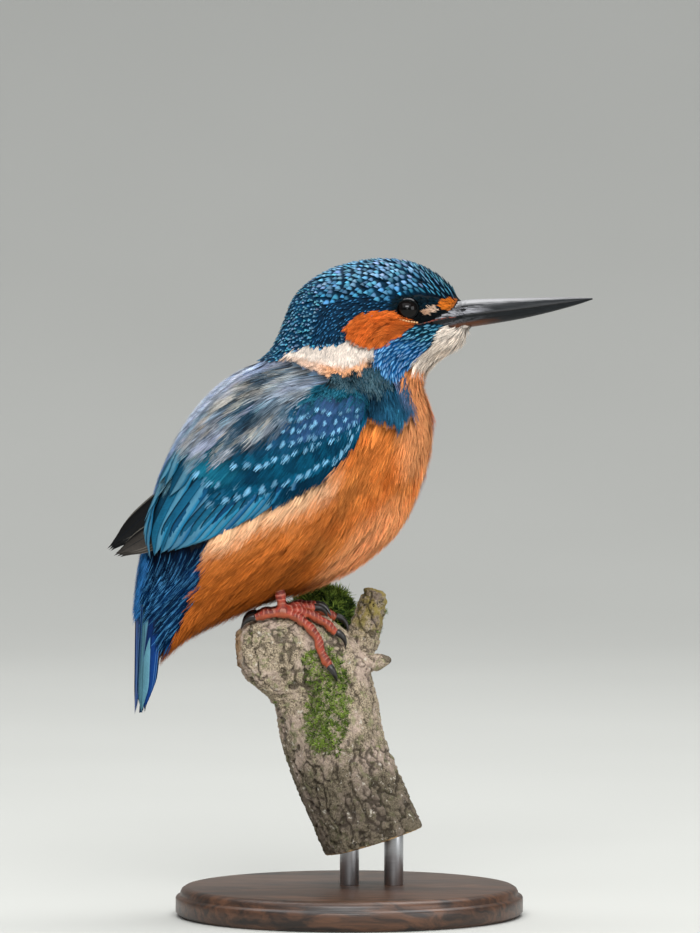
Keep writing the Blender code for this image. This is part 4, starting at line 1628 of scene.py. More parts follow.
@dataclass(frozen=True)
class Bill:
    """Both mandibles and the corner of the mouth, draped on the face."""

    form: Form
    # place along the bill, ridge, mouth line, keel, half width
    cuts: Line = ((35.0, 84.4, 80.0, 77.4, 5.0), (44.0, 86.4, 82.0, 78.8, 4.4),
        (52.0, 86.85, 83.1, 80.0, 3.45), (60.0, 87.05, 84.1, 81.4, 2.65), (68.0, 87.2, 85.2, 83.25, 1.85),
        (75.0, 87.2, 86.2, 85.2, 1.0), (79.0, 87.05, 86.8, 86.55, 0.25))
    rings: int = 120
    around: int = 48
    groove: float = 0.4
    nostril: tuple[float, float] = (31.0, 164.7)
    reach: Line = ((43.6, 88), (42.0, 85.2), (40.0, 83.6), (37.4, 82.2), (35.6, 81.2), (35.6, 80.2),
        (38.6, 79.6), (41.5, 79.0), (44.6, 78.8), (48, 79), (52, 79), (52, 88))
    gape: Line = ((31.2, 79.9), (33.0, 80.2), (35.0, 80.7), (37.2, 81.3), (39.6, 81.7), (42.0, 81.9))

    def mandible(self, upper: bool) -> tuple[Shell, Array]:
        """One mandible with its side groove, deeper and longer in the upper one.

        Args:
            upper: True for the upper mandible.

        Returns:
            Its shell, and for each point: share along, share up its side, 1 on the lower.
        """
        form = self.form
        share = np.linspace(0, 1, self.rings) ** 1.2
        x, ridge, mouth, keel, width = curve_at(self.cuts, share * (len(self.cuts) - 1)).T
        sign = 1 if upper else -1
        height = np.abs((ridge if upper else keel) - mouth) - 0.06
        turn = turns(self.around)
        side, lift = np.cos(turn), np.sin(turn)
        up = np.where(lift > 0, np.abs(lift) ** 1.25, -0.16 * np.abs(lift))
        hollow = np.exp(-(((up - 0.42) / 0.13) ** 2)) * (lift > 0)
        fade = 1 - smooth(x, 46, 66) if upper else 0.35 * (1 - smooth(x, 44, 56))
        dent = self.groove * fade[:, None] * hollow
        lip = 0.12 * np.exp(-((up / 0.08) ** 2)) * (1 - smooth(x, 60, 76))[:, None]
        wide = np.maximum(width[:, None] + lip, 0.1) * side
        wide -= np.sign(side) * np.minimum(dent, np.abs(wide) * 0.8)
        tall = (mouth + sign * 0.03)[:, None] + sign * height[:, None] * up
        points = triples(x[:, None], wide, tall)
        flat = points.reshape(-1, 3)
        back = inside(flat[:, [0, 2]], self.reach) & (flat[:, 0] < 45.5)
        face = form.at(*form.on_side(flat[back][:, [0, 2]], Side.RIGHT))[0]
        flank = np.abs(face[:, 1]) - 0.25 - 0.6 * dent.ravel()[back]
        flat[back, 1] += (np.sign(flat[back, 1]) * np.maximum(flank - np.abs(flat[back, 1]), 0)
                          * (1 - smooth(flat[back, 0], 42.0, 45.5)))
        marks = triples(share[:, None], up, float(not upper)).reshape(-1, 3)
        return closed(points), np.vstack((marks, marks[0], marks[-1]))

    def finish(self) -> Surface:
        """Worn black horn, greyer along the ridge with painted sheen, painted sheen at the upper base,
        reddish brown at the lower base, and painted shade at the mouth line and nostril.
        """
        m = Material("bill_horn", Specular_IOR_Level=0.2, Coat_Roughness=0.3)
        along, up, lower = m.parts("mark")
        place = m.place()
        x, y, z = m.parts(place)
        grain = m.cloud(m.vector(x * 0.25, y * 1.5, z * 4.5), 1.0, 4.0, 0.65)
        fleck = m.cloud(place, 5.0, 3.0)
        m.colour = m.mixed(m.step(grain, 0.42, 0.8), "#04090d", "#1c2126")
        # grey along the ridge: partly worn horn, partly painted sheen
        ridge = m.step(up + (grain - 0.5) * 0.4, 0.55, 0.9) * (1.0 - lower)
        m.paint(ridge * (0.8 - m.step(along, 0.2, 0.9) * 0.35), "#a2a2a4")
        # painted sheen: pale grey streaks at the mandibles' base, mostly the upper one
        base = (1.0 - m.step(along, 0.16, 0.36)) * m.step(up, 0.08, 0.2) * (1.0 - m.step(up, 0.4, 0.7))
        m.paint(base * (1.0 - lower * 0.8) * m.step(grain, 0.38, 0.56) * 0.75, "#a4a4aa")
        brown = m.step(along, 0.06, 0.14) * (1.0 - m.step(along + (grain - 0.5) * 0.2, 0.22, 0.42))
        m.paint(brown * m.step(up, 0.35, 0.7) * lower * 0.9, "#5a3015")
        # painted shade: black along the mouth line where the mandibles meet
        m.paint((1.0 - m.step(up, 0.02, 0.1)) * 0.95, "#010203")
        # painted shade in the nostril's recess
        ahead = x - self.nostril[0]
        away = (ahead / 1.2) ** 2.0 + ((z - self.nostril[1] - ahead * 0.1) / 0.24) ** 2.0
        nostril = 1.0 - m.step(away + (grain - 0.5) * 0.6, 0.4, 1.3)
        m.paint(nostril * 0.95, "#020304")
        return m.finish(grain + fleck * 0.3 - nostril * 3.0, 0.08, 0.5, Roughness=0.32 + grain * 0.25,
            Coat_Weight=0.02 + fleck * 0.1)

    def build(self) -> None:
        """Make both mandibles and the corners of the mouth."""
        horn = self.finish()
        for node, upper in (("bill_upper", True), ("bill_lower", False)):
            shell, marks = self.mandible(upper)
            mesh = make_mesh(node + "_horn", *shell)
            put_vectors(mesh, "mark", marks)
            finish_piece(node + "_horn", mesh, horn, "bill_horn", [node])
        m = Material("gape_skin", Roughness=0.45, Specular_IOR_Level=0.4)
        spots = m.cloud(m.place(), 2.2, 3.0)
        m.colour = m.mixed(m.step(spots, 0.4, 0.62), "#0c0706", "#7c2c14")
        line = curve_at(self.gape, np.linspace(0, len(self.gape) - 1, 26))
        thick = 0.2 * np.sin(np.linspace(0.25, 2.9, 26)) ** 0.5
        shells = [tube(self.form.at(*self.form.on_side(line, side))[0], thick, 8) for side in Side]
        finish_piece("gape", together(shells), m.finish(spots, 0.1, 0.5), "bill_horn")


@dataclass(frozen=True)
class Eyes:
    """Both eyeballs with their lids."""

    form: Form
    opening: tuple[float, float] = (2.75, 2.35)
    lid: float = 0.2
    beads: Line = ((26.3, 81.7), (27.6, 81.2), (28.9, 80.9), (30.2, 80.7), (31.4, 80.5))
    bead_count: int = 8
    bead_size: Triple = (0.34, 0.28, 0.26)

    def ball(self, node: str, side: Side) -> tuple[Shell, Array, Array, float]:
        """The eyeball, a little fuller over the pupil.

        Args:
            node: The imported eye.
            side: Which side.

        Returns:
            Its shell, the angle off its axis at each point, its middle and its radius.
        """
        points = cad_points(node)[0]
        low, high = points.min(0), points.max(0)
        middle, radius = (low + high) / 2, float((high - low).max() / 2)
        tip, turn = polar(48, 64, 0.02)
        reach = radius * (1 + 0.035 * np.exp(-((tip / 0.5) ** 2)))
        rings = triples(np.cos(turn) * np.sin(tip), side * np.cos(tip), np.sin(turn) * np.sin(tip))
        angles = np.append(tip.ravel(), (0.0, math.pi))
        return closed(rings * reach[..., None] + middle), angles, middle, radius

    def lids(self, middle: Array, radius: float, side: Side) -> Shell:
        """The rim round the eye and the small beads under it.

        Args:
            middle: Middle of the eyeball.
            radius: Its radius.
            side: Which side.

        Returns:
            The rim and the beads.
        """
        form = self.form
        turn = turns(72)
        wide, tall = self.opening
        x, z = np.cos(turn) * wide, np.sin(turn) * tall
        thick = self.lid * (1 + 0.25 * np.sin(turn) + 0.06 * np.sin(turn * 17))
        bend = turns(12)[:, None]
        out = unit(triples(x, side * np.sqrt(radius**2 - x**2 - z**2), z))
        away = level_with(triples(np.cos(turn), 0, np.sin(turn)), out)
        core = middle + out * (radius + 0.05) + away * 0.1
        rim = core[:, None] + thick[:, None, None] * (
            np.cos(bend) * away[:, None] + np.sin(bend) * out[:, None])
        faces = grid_faces(72, 12, True, looped=True)
        if side > 0:
            faces = [face[::-1] for face in faces]
        spots = curve_at(self.beads, np.linspace(0, len(self.beads) - 1, self.bead_count))
        seats, facing = form.at(*form.on_side(spots, side))
        seats += facing * 0.1
        tip, turn = polar(8, 10, 0.05)
        ball = triples(np.cos(turn) * np.sin(tip), np.cos(tip), np.sin(turn) * np.sin(tip))
        beads = [closed(ball * self.bead_size + seat) for seat in seats]
        return together([(rim.reshape(-1, 3), faces)] + beads)

    def build(self) -> None:
        """Make both eyes."""
        wet = Material("wet_eye", Roughness=0.05, Specular_IOR_Level=0.2)
        tip = wet.parts("tip")[0]
        fibre = wet.cloud(wet.place(), 2.4, 4.0, 0.7)
        iris = wet.step(tip, 0.36, 0.4) * (1.0 - wet.step(tip, 0.66, 0.8))
        wet.set(Base_Color=wet.mixed(iris, "#020202", wet.mixed(fibre, "#030202", "#0c0604")))
        m = Material("eyelid_skin", Roughness=0.65, Specular_IOR_Level=0.1)
        grit = m.cloud(m.place(), 6.0, 2.0)
        m.colour = m.mixed(grit, "#020405", "#0a1012")
        z = m.parts(m.place())[2]
        m.paint(1.0 - m.step(z + (grit - 0.5) * 0.8, 161.1, 161.6), "#d9a878")
        skin = m.finish(grit, 0.1, 0.6)
        for side in Side:
            node = "eye_" + side.word
            shell, angles, middle, radius = self.ball(node, side)
            mesh = make_mesh("eyeball_" + side.word, *shell)
            put_vectors(mesh, "tip", triples(angles, 0, 0))
            finish_piece("eyeball_" + side.word, mesh, wet.made, "eye", [node])
            finish_piece("eyelid_" + side.word, self.lids(middle, radius, side), skin, "head_feathers")


@dataclass(frozen=True)
class Feet:
    """Legs and toes with their scutes, and the claws."""

    ankle_x: float = -4.6
    ankle_y: float = 6.8
    voxel: float = 0.2
    scute: float = 1.1
    ridge: float = 0.1
    pad: float = 2.3
    claw_root: float = 0.98
    claw_arch: float = 2.1
    claw_more: float = 0.5
    toes: tuple[str, ...] = ("inner", "middle", "outer", "hind")

    def leg(self, node: str, side: Side) -> Mesh:
        """One leg with its toes.

        Args:
            node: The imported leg.
            side: Which side.

        Returns:
            The smooth mesh with its scutes and pads raised.
        """
        mesh = remeshed(node, self.voxel, 16, node + "_skin")
        points, normals = read_mesh(mesh)
        near = np.hypot(points[:, 0] - self.ankle_x, points[:, 1] - side * self.ankle_y) < 1.5
        ankle = np.array((self.ankle_x, side * self.ankle_y, points[near, 2].min() + 1.6))
        reach = np.linalg.norm(points - ankle, axis=1)
        wobble = 0.3 * noise(points / 1.6, 3)
        joint = 0.16 * np.cos(2 * np.pi * (reach - 1.0) / 4.1)
        ring = (reach / self.scute + wobble) % 1
        top = np.maximum(smooth(normals[:, 2], -0.25, 0.25), smooth(points[:, 2], 4.5, 6.0))
        plate = smooth(ring, 0.0, 0.3) * (1 - 0.25 * smooth(ring, 0.75, 1.0))
        cushion = np.abs(np.sin(np.pi * reach / self.pad)) ** 0.6
        pebble = noise(points / 0.45, 9)
        rise = top * self.ridge * (plate - 0.7)
        rise += (1 - top) * (0.22 * (cushion - 0.6) + 0.05 * pebble)
        rise += joint - 0.12
        move_mesh(mesh, points + normals * rise[:, None])
        put_vectors(mesh, "mark", triples(ring, top, 0))
        return mesh

    def claw(self, node: str, leg: BVHTree, bark: BVHTree) -> Shell:
        """One hooked claw, from inside the toe's end down to the bark.

        Args:
            node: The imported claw.
            leg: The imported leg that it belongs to.
            bark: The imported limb.

        Returns:
            Its shell.
        """
        spots = cad_points(node)[0]
        away = np.array([leg.find_nearest(Vector(spot))[3] for spot in spots])
        start = spots[away < np.quantile(away, 0.3)].mean(0)
        end = spots[away > np.quantile(away, 0.9)].mean(0)
        out = np.array(bark.find_nearest(Vector((start + end) / 2))[1])
        ahead = unit((end - start)[None])[0]
        start = start - ahead * 0.9 + out * 0.15
        end = end + ahead * self.claw_more - out * 0.35
        top = (start + end) / 2 + out * self.claw_arch
        s = np.linspace(0, 1, 20)[:, None]
        line = start * (1 - s) ** 2 + 2 * top * s * (1 - s) + end * s**2
        return tube(line, self.claw_root * (1 - s[:, 0] ** 1.4) ** 0.75 + 0.05, 16)

    def skin(self) -> Surface:
        """Coral-red scaly skin with painted shade in the creases and dry pale edges."""
        m = Material("foot_skin", Specular_IOR_Level=0.45, Subsurface_Weight=0.1, Subsurface_Scale=0.001)
        ring, top, _ = m.parts("mark")
        cloudy = m.cloud(m.place(), 0.6, 3.0)
        grit = m.cloud(m.place(), 4.5, 3.0, 0.6)
        m.colour = m.mixed(m.step(cloudy, 0.35, 0.65), "#64190d", "#983320")
        # painted shade in the creases between scutes
        m.paint((1.0 - m.step(ring, 0.02, 0.24)) * top * 0.6, "#4a140c")
        m.paint(m.step(ring + (grit - 0.5) * 0.3, 0.55, 0.85) * top * 0.3, "#e0a58c")
        m.paint((1.0 - top) * 0.3, "#cc7448")
        return m.finish(grit, 0.12, 0.7, Roughness=0.4 + grit * 0.3)

    def build(self) -> None:
        """Make legs and claws."""
        skin = self.skin()
        m = Material("claw_horn", Specular_IOR_Level=0.5, Coat_Roughness=0.2)
        grain = m.cloud(m.place(), 2.5, 4.0, 0.65)
        m.colour = m.mixed(grain, "#060606", "#221d1c")
        horn = m.finish(grain, 0.06, 0.5, Roughness=0.22 + grain * 0.3, Coat_Weight=0.1 + grain * 0.2)
        bark = search_tree("perch_limb")
        for side in Side:
            leg = "leg_" + side.word
            finish_piece(leg + "_skin", self.leg(leg, side), skin, "foot_skin", [leg])
            for toe in self.toes:
                node = f"claw_{toe}_{side.word}"
                claw = self.claw(node, search_tree(leg), bark)
                finish_piece(node + "_horn", claw, horn, "claw_horn", [node])


# -------- perch and stand


@dataclass(frozen=True)
class Perch:
    """The cut limb: bark, sawn and broken ends, and moss."""

    voxel: float = 0.42
    axis: Triple = (0.3, 0.0, -0.954)
    saw: Triple = (0.286, 0.0, -0.958)
    saw_middle: Triple = (19.8, 3.0, -60.0)
    broken_x: float = -15.6
    mound: Triple = (5.4, 13.0, -0.8)
    mound_size: Triple = (8.0, 4.6, 8.0)
    mossy: Line = ((1.0, -9.5), (3.6, -6.8), (8.0, -7.4), (10.8, -10.5), (12.8, -16), (13.2, -22),
        (12.8, -29), (10.5, -36), (5, -35), (1.2, -31), (2.0, -20))

    def build(self, coat: Coat) -> None:
        """Make the limb and grow its moss."""
        mesh = remeshed("perch_limb", self.voxel, 3, "limb_bark")
        points, normals = read_mesh(mesh)
        stretched = points - self.axis * (0.58 * (points @ self.axis))[:, None]
        broad = noise(stretched / 5.2, 21)
        narrow = noise(stretched / 2.3, 22)
        fissure = 1 - smooth(np.abs(broad + 0.45 * narrow + 0.2 * noise(points / 1.2, 28)), 0.0, 0.14)
        crack = (1 - smooth(np.abs(narrow + 0.4 * noise(points / 1.1, 25)), 0.0, 0.16)) * (1 - fissure)
        rough = 0.6 - 1.6 * np.abs(noise(points / 1.5, 23)) + 0.7 * noise(points / 0.8, 24)
        swell = noise(points / 11.0, 26)
        rise = 0.5 * swell - 0.9 * fissure - 0.5 * crack + 0.36 * rough - 0.3
        sawn = smooth((points - self.saw_middle) @ self.saw, -0.9, -0.35)
        sawn *= smooth(normals @ self.saw, 0.5, 0.8)
        x, y, z = points.T
        for rod in ROD_XS:
            bore = np.hypot(x - rod, y - ROD_Y) - ROD_RADIUS
            sawn = np.maximum(sawn, (1 - smooth(bore, 0.6, 1.2)) * (z < -48))
        snapped = smooth(self.broken_x - x, 0.0, 1.0)
        splinter = noise(points * (0.25, 1.4, 1.4), 27)
        rise = rise * (1 - snapped) + 0.9 * splinter * snapped
        tree = search_tree("leg_right", "leg_left")
        foot = np.array([tree.find_nearest(Vector(p), 6.0)[3] or 6.0 for p in points])
        rise = np.minimum(rise, 0.1 + 0.5 * smooth(foot, 2.0, 6.0))
        rise = np.maximum(rise, -0.4 - 1.4 * smooth(foot, 0.5, 5.0)) * (1 - sawn)
        thorn = smooth(x, 20.0, 22.0) * (z < -6) * (z > -17)
        rise = rise * (1 - thorn) + 0.45 * thorn
        move_mesh(mesh, points + normals * rise[:, None])
        knob = smooth(z, -8, 2) * smooth(x, 12, 16)
        put_vectors(mesh, "deep", triples(np.maximum(fissure, 0.7 * crack), 0, 0))
        put_vectors(mesh, "kind", triples(sawn, snapped, knob))
        finish_piece("limb_bark", mesh, self.bark(), "bark", ["perch_limb"])
        points, normals = read_mesh(mesh)
        bed, out = self.cushion()
        free, grown = (1 - sawn) * (foot > 0.9), np.ones(len(bed))
        self.moss(coat, np.vstack((points, bed)), np.vstack((normals, out)),
            np.append(free, grown), np.append(0 * free, grown))

    def cushion(self) -> tuple[Array, Array]:
        """Make the bed of the moss cushion behind the feet.

        Returns:
            Its points and their outward directions.
        """
        tip, turn = polar(44, 72, 0.05)
        ball = triples(np.cos(turn) * np.sin(tip), np.sin(turn) * np.sin(tip), np.cos(tip))
        lumps = noise(ball.reshape(-1, 3) * 2.6, 35) + 0.5 * noise(ball.reshape(-1, 3) * 6, 36)
        rings = ball * (1 + 0.16 * lumps.reshape(tip.shape))[..., None] * self.mound_size
        m = Material("moss_bed", Roughness=0.95, Specular_IOR_Level=0.1)
        grit = m.cloud(m.place(), 2.5, 4.0, 0.7)
        m.colour = m.mixed(grit, "#0a1406", "#26401a")
        bed = finish_piece("moss_bed", closed(rings + self.mound), m.finish(grit, 0.4, 0.8), "bark")
        return read_mesh(bed.data)

    def bark(self) -> Surface:
        """Grey-brown bark with lichen, painted shade in cracks, pits and lower down, and bare wood at the
        ends.
        """
        m = Material("limb_bark", Specular_IOR_Level=0.25)
        crack = m.parts("deep")[0]
        sawn, snapped, knob = m.parts("kind")
        place = m.place()
        x, y, z = m.parts(place)
        patch = m.cloud(place, 0.13, 4.0, 0.6)
        spots = m.cloud(m.vector(x, y, z + 300.0), 0.45, 5.0, 0.65)
        grit = m.cloud(place, 2.2, 5.0, 0.7)
        m.colour = m.mixed(m.step(grit, 0.35, 0.62), "#5e5242", "#c2b298")
        m.paint(m.step(patch, 0.45, 0.6) * 0.6, "#c6b0a4")
        m.paint(m.step(spots, 0.55, 0.62) * 0.6, "#8b8f62")
        # painted shade: darker towards the limb's lower end
        m.paint((1.0 - m.step(z + (patch - 0.5) * 40.0, 30.0, 58.0)) * 0.72, "#3a3528")
        pale = m.step(m.cloud(m.vector(x + 90.0, y, z), 0.5, 5.0, 0.7), 0.6, 0.66)
        m.paint(pale * 0.7, "#d6d0c2")
        m.paint(knob * (0.3 + m.step(patch, 0.4, 0.6) * 0.35), "#3a3424")
        m.paint(knob * m.step(spots, 0.4, 0.56) * 0.8, "#8f8040")
        # painted shade in the bark's fissures and cracks
        m.paint(m.step(crack, 0.1, 0.7) * 0.66, "#241c14")
        # painted shade in small pits, more on the knob
        pit = 1.0 - m.step(m.cloud(m.vector(x, y + 70.0, z), 0.85, 5.0, 0.7), 0.36, 0.42)
        m.paint(pit * (0.25 + knob * 0.65), "#1e1810")
        m.paint(m.step(grit, 0.62, 0.72) * 0.35, "#e0d8c8")
        away = m.vector_math("DISTANCE", place, tuple(to_scene(self.saw_middle) / MM))
        grown = m.maths("SINE", away * 4.2 + patch * 9.0)
        m.paint(sawn, m.mixed(0.5 + grown * 0.3 + (grit - 0.5), "#8a6a44", "#cfae7f"))
        m.paint(snapped * 0.8, m.mixed(grit, "#5a4026", "#b38f62"))
        return m.finish(grit * 1.4 + spots - pit * 0.5, 0.4, 0.9, Roughness=0.72 + grit * 0.25)

    def moss(self, coat: Coat, points: Array, normals: Array, free: Array, mound: Array) -> None:
        """Grow cushions of moss behind the feet and down the near face.

        Args:
            coat: What grows it.
            points: Places on the bark.
            normals: Outward directions there.
            free: How far each place is open to moss, 0 at feet and on bare wood.
            mound: 1 at places of the cushion behind the feet, else 0.
        """
        random = np.random.default_rng(5)
        y, z = points[:, 1], points[:, 2]
        patch = noise(points / 3.4, 31) + 0.6 * noise(points / 1.3, 32)
        strays = np.stack((noise(points / 1.6, 33), noise(points / 1.6, 34)), 1)
        near = inside(points[:, [0, 2]] + 1.3 * strays, self.mossy) * (y < -1.0)
        share = 0.35 * smooth(patch, 0.85, 1.2) * smooth(z, -50, -20)
        share = np.maximum(share, np.maximum(near, mound)) * free
        kept = random.random(len(points)) < share * 0.62
        place, out, tall = points[kept], normals[kept], mound[kept]
        count = len(place)
        lie = unit(out + (0.0, 0.0, 0.35) + random.normal(0, 0.35, (count, 3)))
        facing = unit(np.cross(lie, random.normal(size=(count, 3))))
        length = (0.95 + 0.9 * tall) * random.uniform(0.6, 1.4, count)
        tint = between(("#1c3a10", "#a4c052"), random.uniform(0, 1, (count, 1)) ** 1.3)
        tint *= 1 - 0.15 * tall[:, None]
        around = np.arctan2(place[:, 1] - 3.0, place[:, 0] - 8.0)
        shapes = [TuftShape(6, 3, 0.17, 1.1, 0.4, 1.6, seed=k).build(f"moss_{k}") for k in (7, 8, 9)]
        finish = FeatherFinish("moss", roughness=0.8, specular=0.2, streak=0.3, shade=0.6,
            strand_tone=0.6, spotted=False).build()
        coat.grow("moss", "bark", {
            "place": place - out * 0.15, "facing": facing, "lie": lie, "tint": tint,
            "size": triples(length, length * 0.8, length * 0.5),
            "seat": triples(around, place @ self.axis, 0),
            "chance": triples(random.random(count), 1, 0),
        }, shapes, finish)


@dataclass(frozen=True)
class Stand:
    """The turned base and its two rods."""

    radius: float = 47.0
    height: float = 8.0
    middle: Triple = (13.35, 0.0, -80.0)
    rod_top: float = -50.0

    def build(self) -> None:
        """Make base and rods."""
        r, h = self.radius, self.height
        outline = ((0.4, 0), (r - 1.6, 0), (r - 1.2, 0.15), (r, 1.3), (r, 4.9), (r - 0.2, 5.3),
            (r - 1.1, 5.6), (r - 1.25, 5.9), (r - 1.3, 6.5), (r - 1.7, 7.3), (r - 2.6, 7.85),
            (r - 3.6, h), (0.4, h))
        finish_piece("base_wood", self.lathe(outline, 160), self.wood(), "stand_wood", ["stand_base"])
        steel = self.steel()
        r, top = ROD_RADIUS, self.rod_top - self.middle[2]
        outline = ((0.2, h), (r - 0.1, h), (r, h + 0.1), (r, top - 0.2), (r - 0.2, top), (0.2, top))
        for i, x in enumerate(ROD_XS):
            node = f"stand_rod_{i + 1}"
            finish_piece(node + "_steel", self.lathe(outline, 48, (x, ROD_Y)), steel, "stand_steel",
                [node])

    def lathe(self, outline: Line, around: int, centre: Optional[tuple[float, float]] = None) -> Shell:
        """Turn an outline round an upright axis.

        Args:
            outline: Radius and height over the floor of each of its points.
            around: Points in each ring.
            centre: Where the axis stands, if not in the base's middle.

        Returns:
            The shell.
        """
        x, y = centre or self.middle[:2]
        turn = turns(around)
        return closed(np.array([triples(x + r * np.cos(turn), y + r * np.sin(turn),
                                        self.middle[2] + h) for r, h in outline]))

    @staticmethod
    def wood() -> Surface:
        """Dark stained wood with a satin finish."""
        m = Material("stained_wood", Specular_IOR_Level=0.45, Coat_Roughness=0.3)
        x, y, z = m.parts(m.place())
        warp = m.cloud(m.vector(x * 0.02, y * 0.06, z * 0.06), 1.0, 3.0)
        figure = m.cloud(m.vector(x * 0.02, (y + warp * 30.0) * 0.4, z * 0.4), 1.0, 4.0, 0.6)
        pore = m.cloud(m.vector(x * 0.12, y * 2.6, z * 2.6), 1.0, 3.0, 0.7)
        m.colour = m.mixed(m.step(figure, 0.3, 0.7), "#1d120c", "#5a3a25")
        m.paint(m.step(pore, 0.55, 0.75) * 0.5, "#120b07")
        return m.finish(pore, 0.05, 0.5, Roughness=0.32 + pore * 0.25, Coat_Weight=0.2 + figure * 0.2)

    @staticmethod
    def steel() -> Surface:
        """Steel brushed round the rod."""
        m = Material("brushed_steel", Metallic=1.0)
        x, y, z = m.parts(m.place())
        line = m.cloud(m.vector(x * 0.15, y * 0.15, z * 9.0), 1.0, 4.0, 0.7)
        haze = m.cloud(m.place(), 0.15, 2.0)
        m.colour = m.mixed(line, "#8f9194", "#d3d5d8")
        return m.finish(line, 0.02, 0.4, Roughness=0.22 + line * 0.18 + haze * 0.1)


# -------- the body's skin


@dataclass
class Skin:
    """The one closed skin under all feathers, inside the outer form by the coat's depth."""

    form: Form
    depth: float = 1.15
    face_depth: float = 0.6
    tail_depth: float = 0.7

    def depths(self) -> Array:
        """The coat's depth at each point of the form's grid."""
        x, z = self.form.points[..., 0], self.form.points[..., 2]
        face = smooth(x, 14, 30) * smooth(z, 66, 76)
        depth = self.depth + (self.face_depth - self.depth) * face
        depth += (self.tail_depth - depth) * smooth(-z, -6, 8)
        chin = smooth(z, 79, 80.2) * (1 - smooth(z, 82.5, 84))
        depth += 1.3 * smooth(x, 39.5, 43) * chin
        return depth + 1.1 * (1 - smooth(np.hypot(x - EYE_X, z - EYE_Z), 1.6, 3.2))

    def build(self) -> Object:
        """Make the skin and put the plumage's colours on it."""
        form = self.form
        mesh = make_mesh("skin", *closed(form.points - form.normals * self.depths()[..., None]))
        outer = closed(form.points)[0]
        put_vectors(mesh, "tint", colours_at(outer, zones_at(outer))[0])
        m = Material("feather_skin", Roughness=0.7, Specular_IOR_Level=0.2)
        down = m.cloud(m.place(), 3.0, 3.0, 0.6)
        m.colour = m.scaled(m.attribute("tint"), 0.35 + down * 0.5)
        return finish_piece("skin", mesh, m.finish(down, 0.1), "body_feathers",
            (*BODY_NODES, *WING_NODES))


LONG_TIP = (1.0, 0.4, 3.0)
# the tracts of each piece of small feathers
TRACTS = {
    "crown_feathers": (
        Tract((Zone.CROWN,), 1.5, 1.5, 3.8, 1.9, 0.9, 0.2, 6, (0.82, 0.2, 0.85),
            front_spot=(0.7, 0.36, 0.26), steep=26.0, shimmer=0.26),
        Tract((Zone.NAPE,), 1.15, 1.2, 3.0, 1.45, 0.8, 0.25, 7, (0.86, 0.1, 0.9), shimmer=0.3),
        Tract((Zone.BAND,), 1.2, 1.0, 3.4, 1.1, 0.7, 0.3, 8, (0.9, 0.12, 0.4)),
        Tract((Zone.MASK,), 0.9, 0.9, 2.0, 1.0, 0.5, 0.3, 8),
        Tract((Zone.MALAR,), 1.2, 1.0, 3.4, 1.2, 0.7, 0.25, 8, (0.75, 0.28, 0.4), shimmer=0.15)),
    "face_feathers": (
        Tract((Zone.LORE, Zone.CREAM, Zone.ORANGE_LORE), 0.6, 0.55, 2.1, 0.6, 0.45, stray=12),
        Tract((Zone.EAR,), 0.8, 0.7, 3.6, 0.9, 1.0, stray=12, relief=0.85),
        Tract((Zone.WHITE,), 0.9, 0.85, 2.9, 1.3, 0.6, relief=0.2, bare=(Zone.HORN, Zone.EAR)),
        Tract((Zone.THROAT,), 0.95, 0.9, 4.2, 1.3, 1.1, relief=0.7)),
    "breast_feathers": (
        Tract((Zone.BREAST,), 1.25, 1.15, 7.5, 2.2, 1.5, 0.45, 9, relief=0.75,
            bare=(Zone.HORN, Zone.WING, Zone.PECTORAL)),),
    "mantle_feathers": (
        Tract((Zone.MANTLE,), 1.5, 1.2, 9.5, 2.0, 1.3, 0.45, 7, LONG_TIP, relief=0.5,
            bare=(Zone.HORN, Zone.WHITE, Zone.NAPE)),
        Tract((Zone.SHOULDER, Zone.WRIST), 1.0, 1.0, 4.2, 1.8, 1.2, 0.45, 9, (0.95, 0.2, 1.2),
            relief=0.6),
        Tract((Zone.STRIPE, Zone.PECTORAL), 1.2, 1.1, 6.5, 1.8, 1.2, 0.45, 8, LONG_TIP,
            relief=0.5, bare=(Zone.HORN, Zone.WHITE, Zone.NAPE, Zone.MALAR)),
        Tract((Zone.RUMP,), 1.3, 1.2, 8.5, 1.8, 1.1, 0.45, 4, (0.72, 0.5, 0.3), relief=0.7,
            bare=(Zone.HORN, Zone.WING))),
}


@dataclass
class Plumage:
    """All small feathers of head, body and tail."""

    form: Form
    coat: Coat

    def build(self) -> None:
        """Grow each piece of plumage."""
        scales = [VaneShape().build("scale_a"), VaneShape(camber=0.2, round_from=0.4).build("scale_b"),
            VaneShape(stem=0.45, camber=0.35).build("scale_c")]
        tufts = [TuftShape(seed=i).build(f"tuft_{i}") for i in (1, 2, 3)]
        plumes = [TuftShape(9, 5, 0.15, 0.12, 0.1, 0.3, 0.38, ragged=0.3, seed=i).build(f"plume_{i}")
                  for i in (4, 5, 6)]
        scale = FeatherFinish("spotted_feather", roughness=0.45, streak=0.55, shade=0.75,
            mark_edge=(0.0, 1.8)).build()
        soft = FeatherFinish("soft_feather", roughness=0.7, specular=0.06, shade=0.75, streak=0.3,
            strand_tone=0.7, spotted=False).build()
        silk = FeatherFinish("silky_feather", roughness=0.55, specular=0.04, shade=0.75, streak=0.5,
            strand_tone=1.4, mark_edge=(0.2, 1.6)).build()
        pieces = (("crown_feathers", "head_feathers", scales, scale),
                  ("face_feathers", "head_feathers", tufts, soft),
                  ("breast_feathers", "body_feathers", plumes, soft),
                  ("mantle_feathers", "body_feathers", plumes, silk))
        for number, (name, slot, shapes, finish) in enumerate(pieces):
            roots = joined([tract.roots(self.form, 40 + 10 * number + i)
                            for i, tract in enumerate(TRACTS[name])])
            if slot == "head_feathers":
                self.coat.grow(name, slot, roots, shapes, finish)
                continue
            near = roots["place"][:, 1] < 0
            for word, kept in (("_right", near), ("_left", ~near)):
                half = {key: values[kept] for key, values in roots.items()}
                self.coat.grow(name + word, slot, half, shapes, finish)


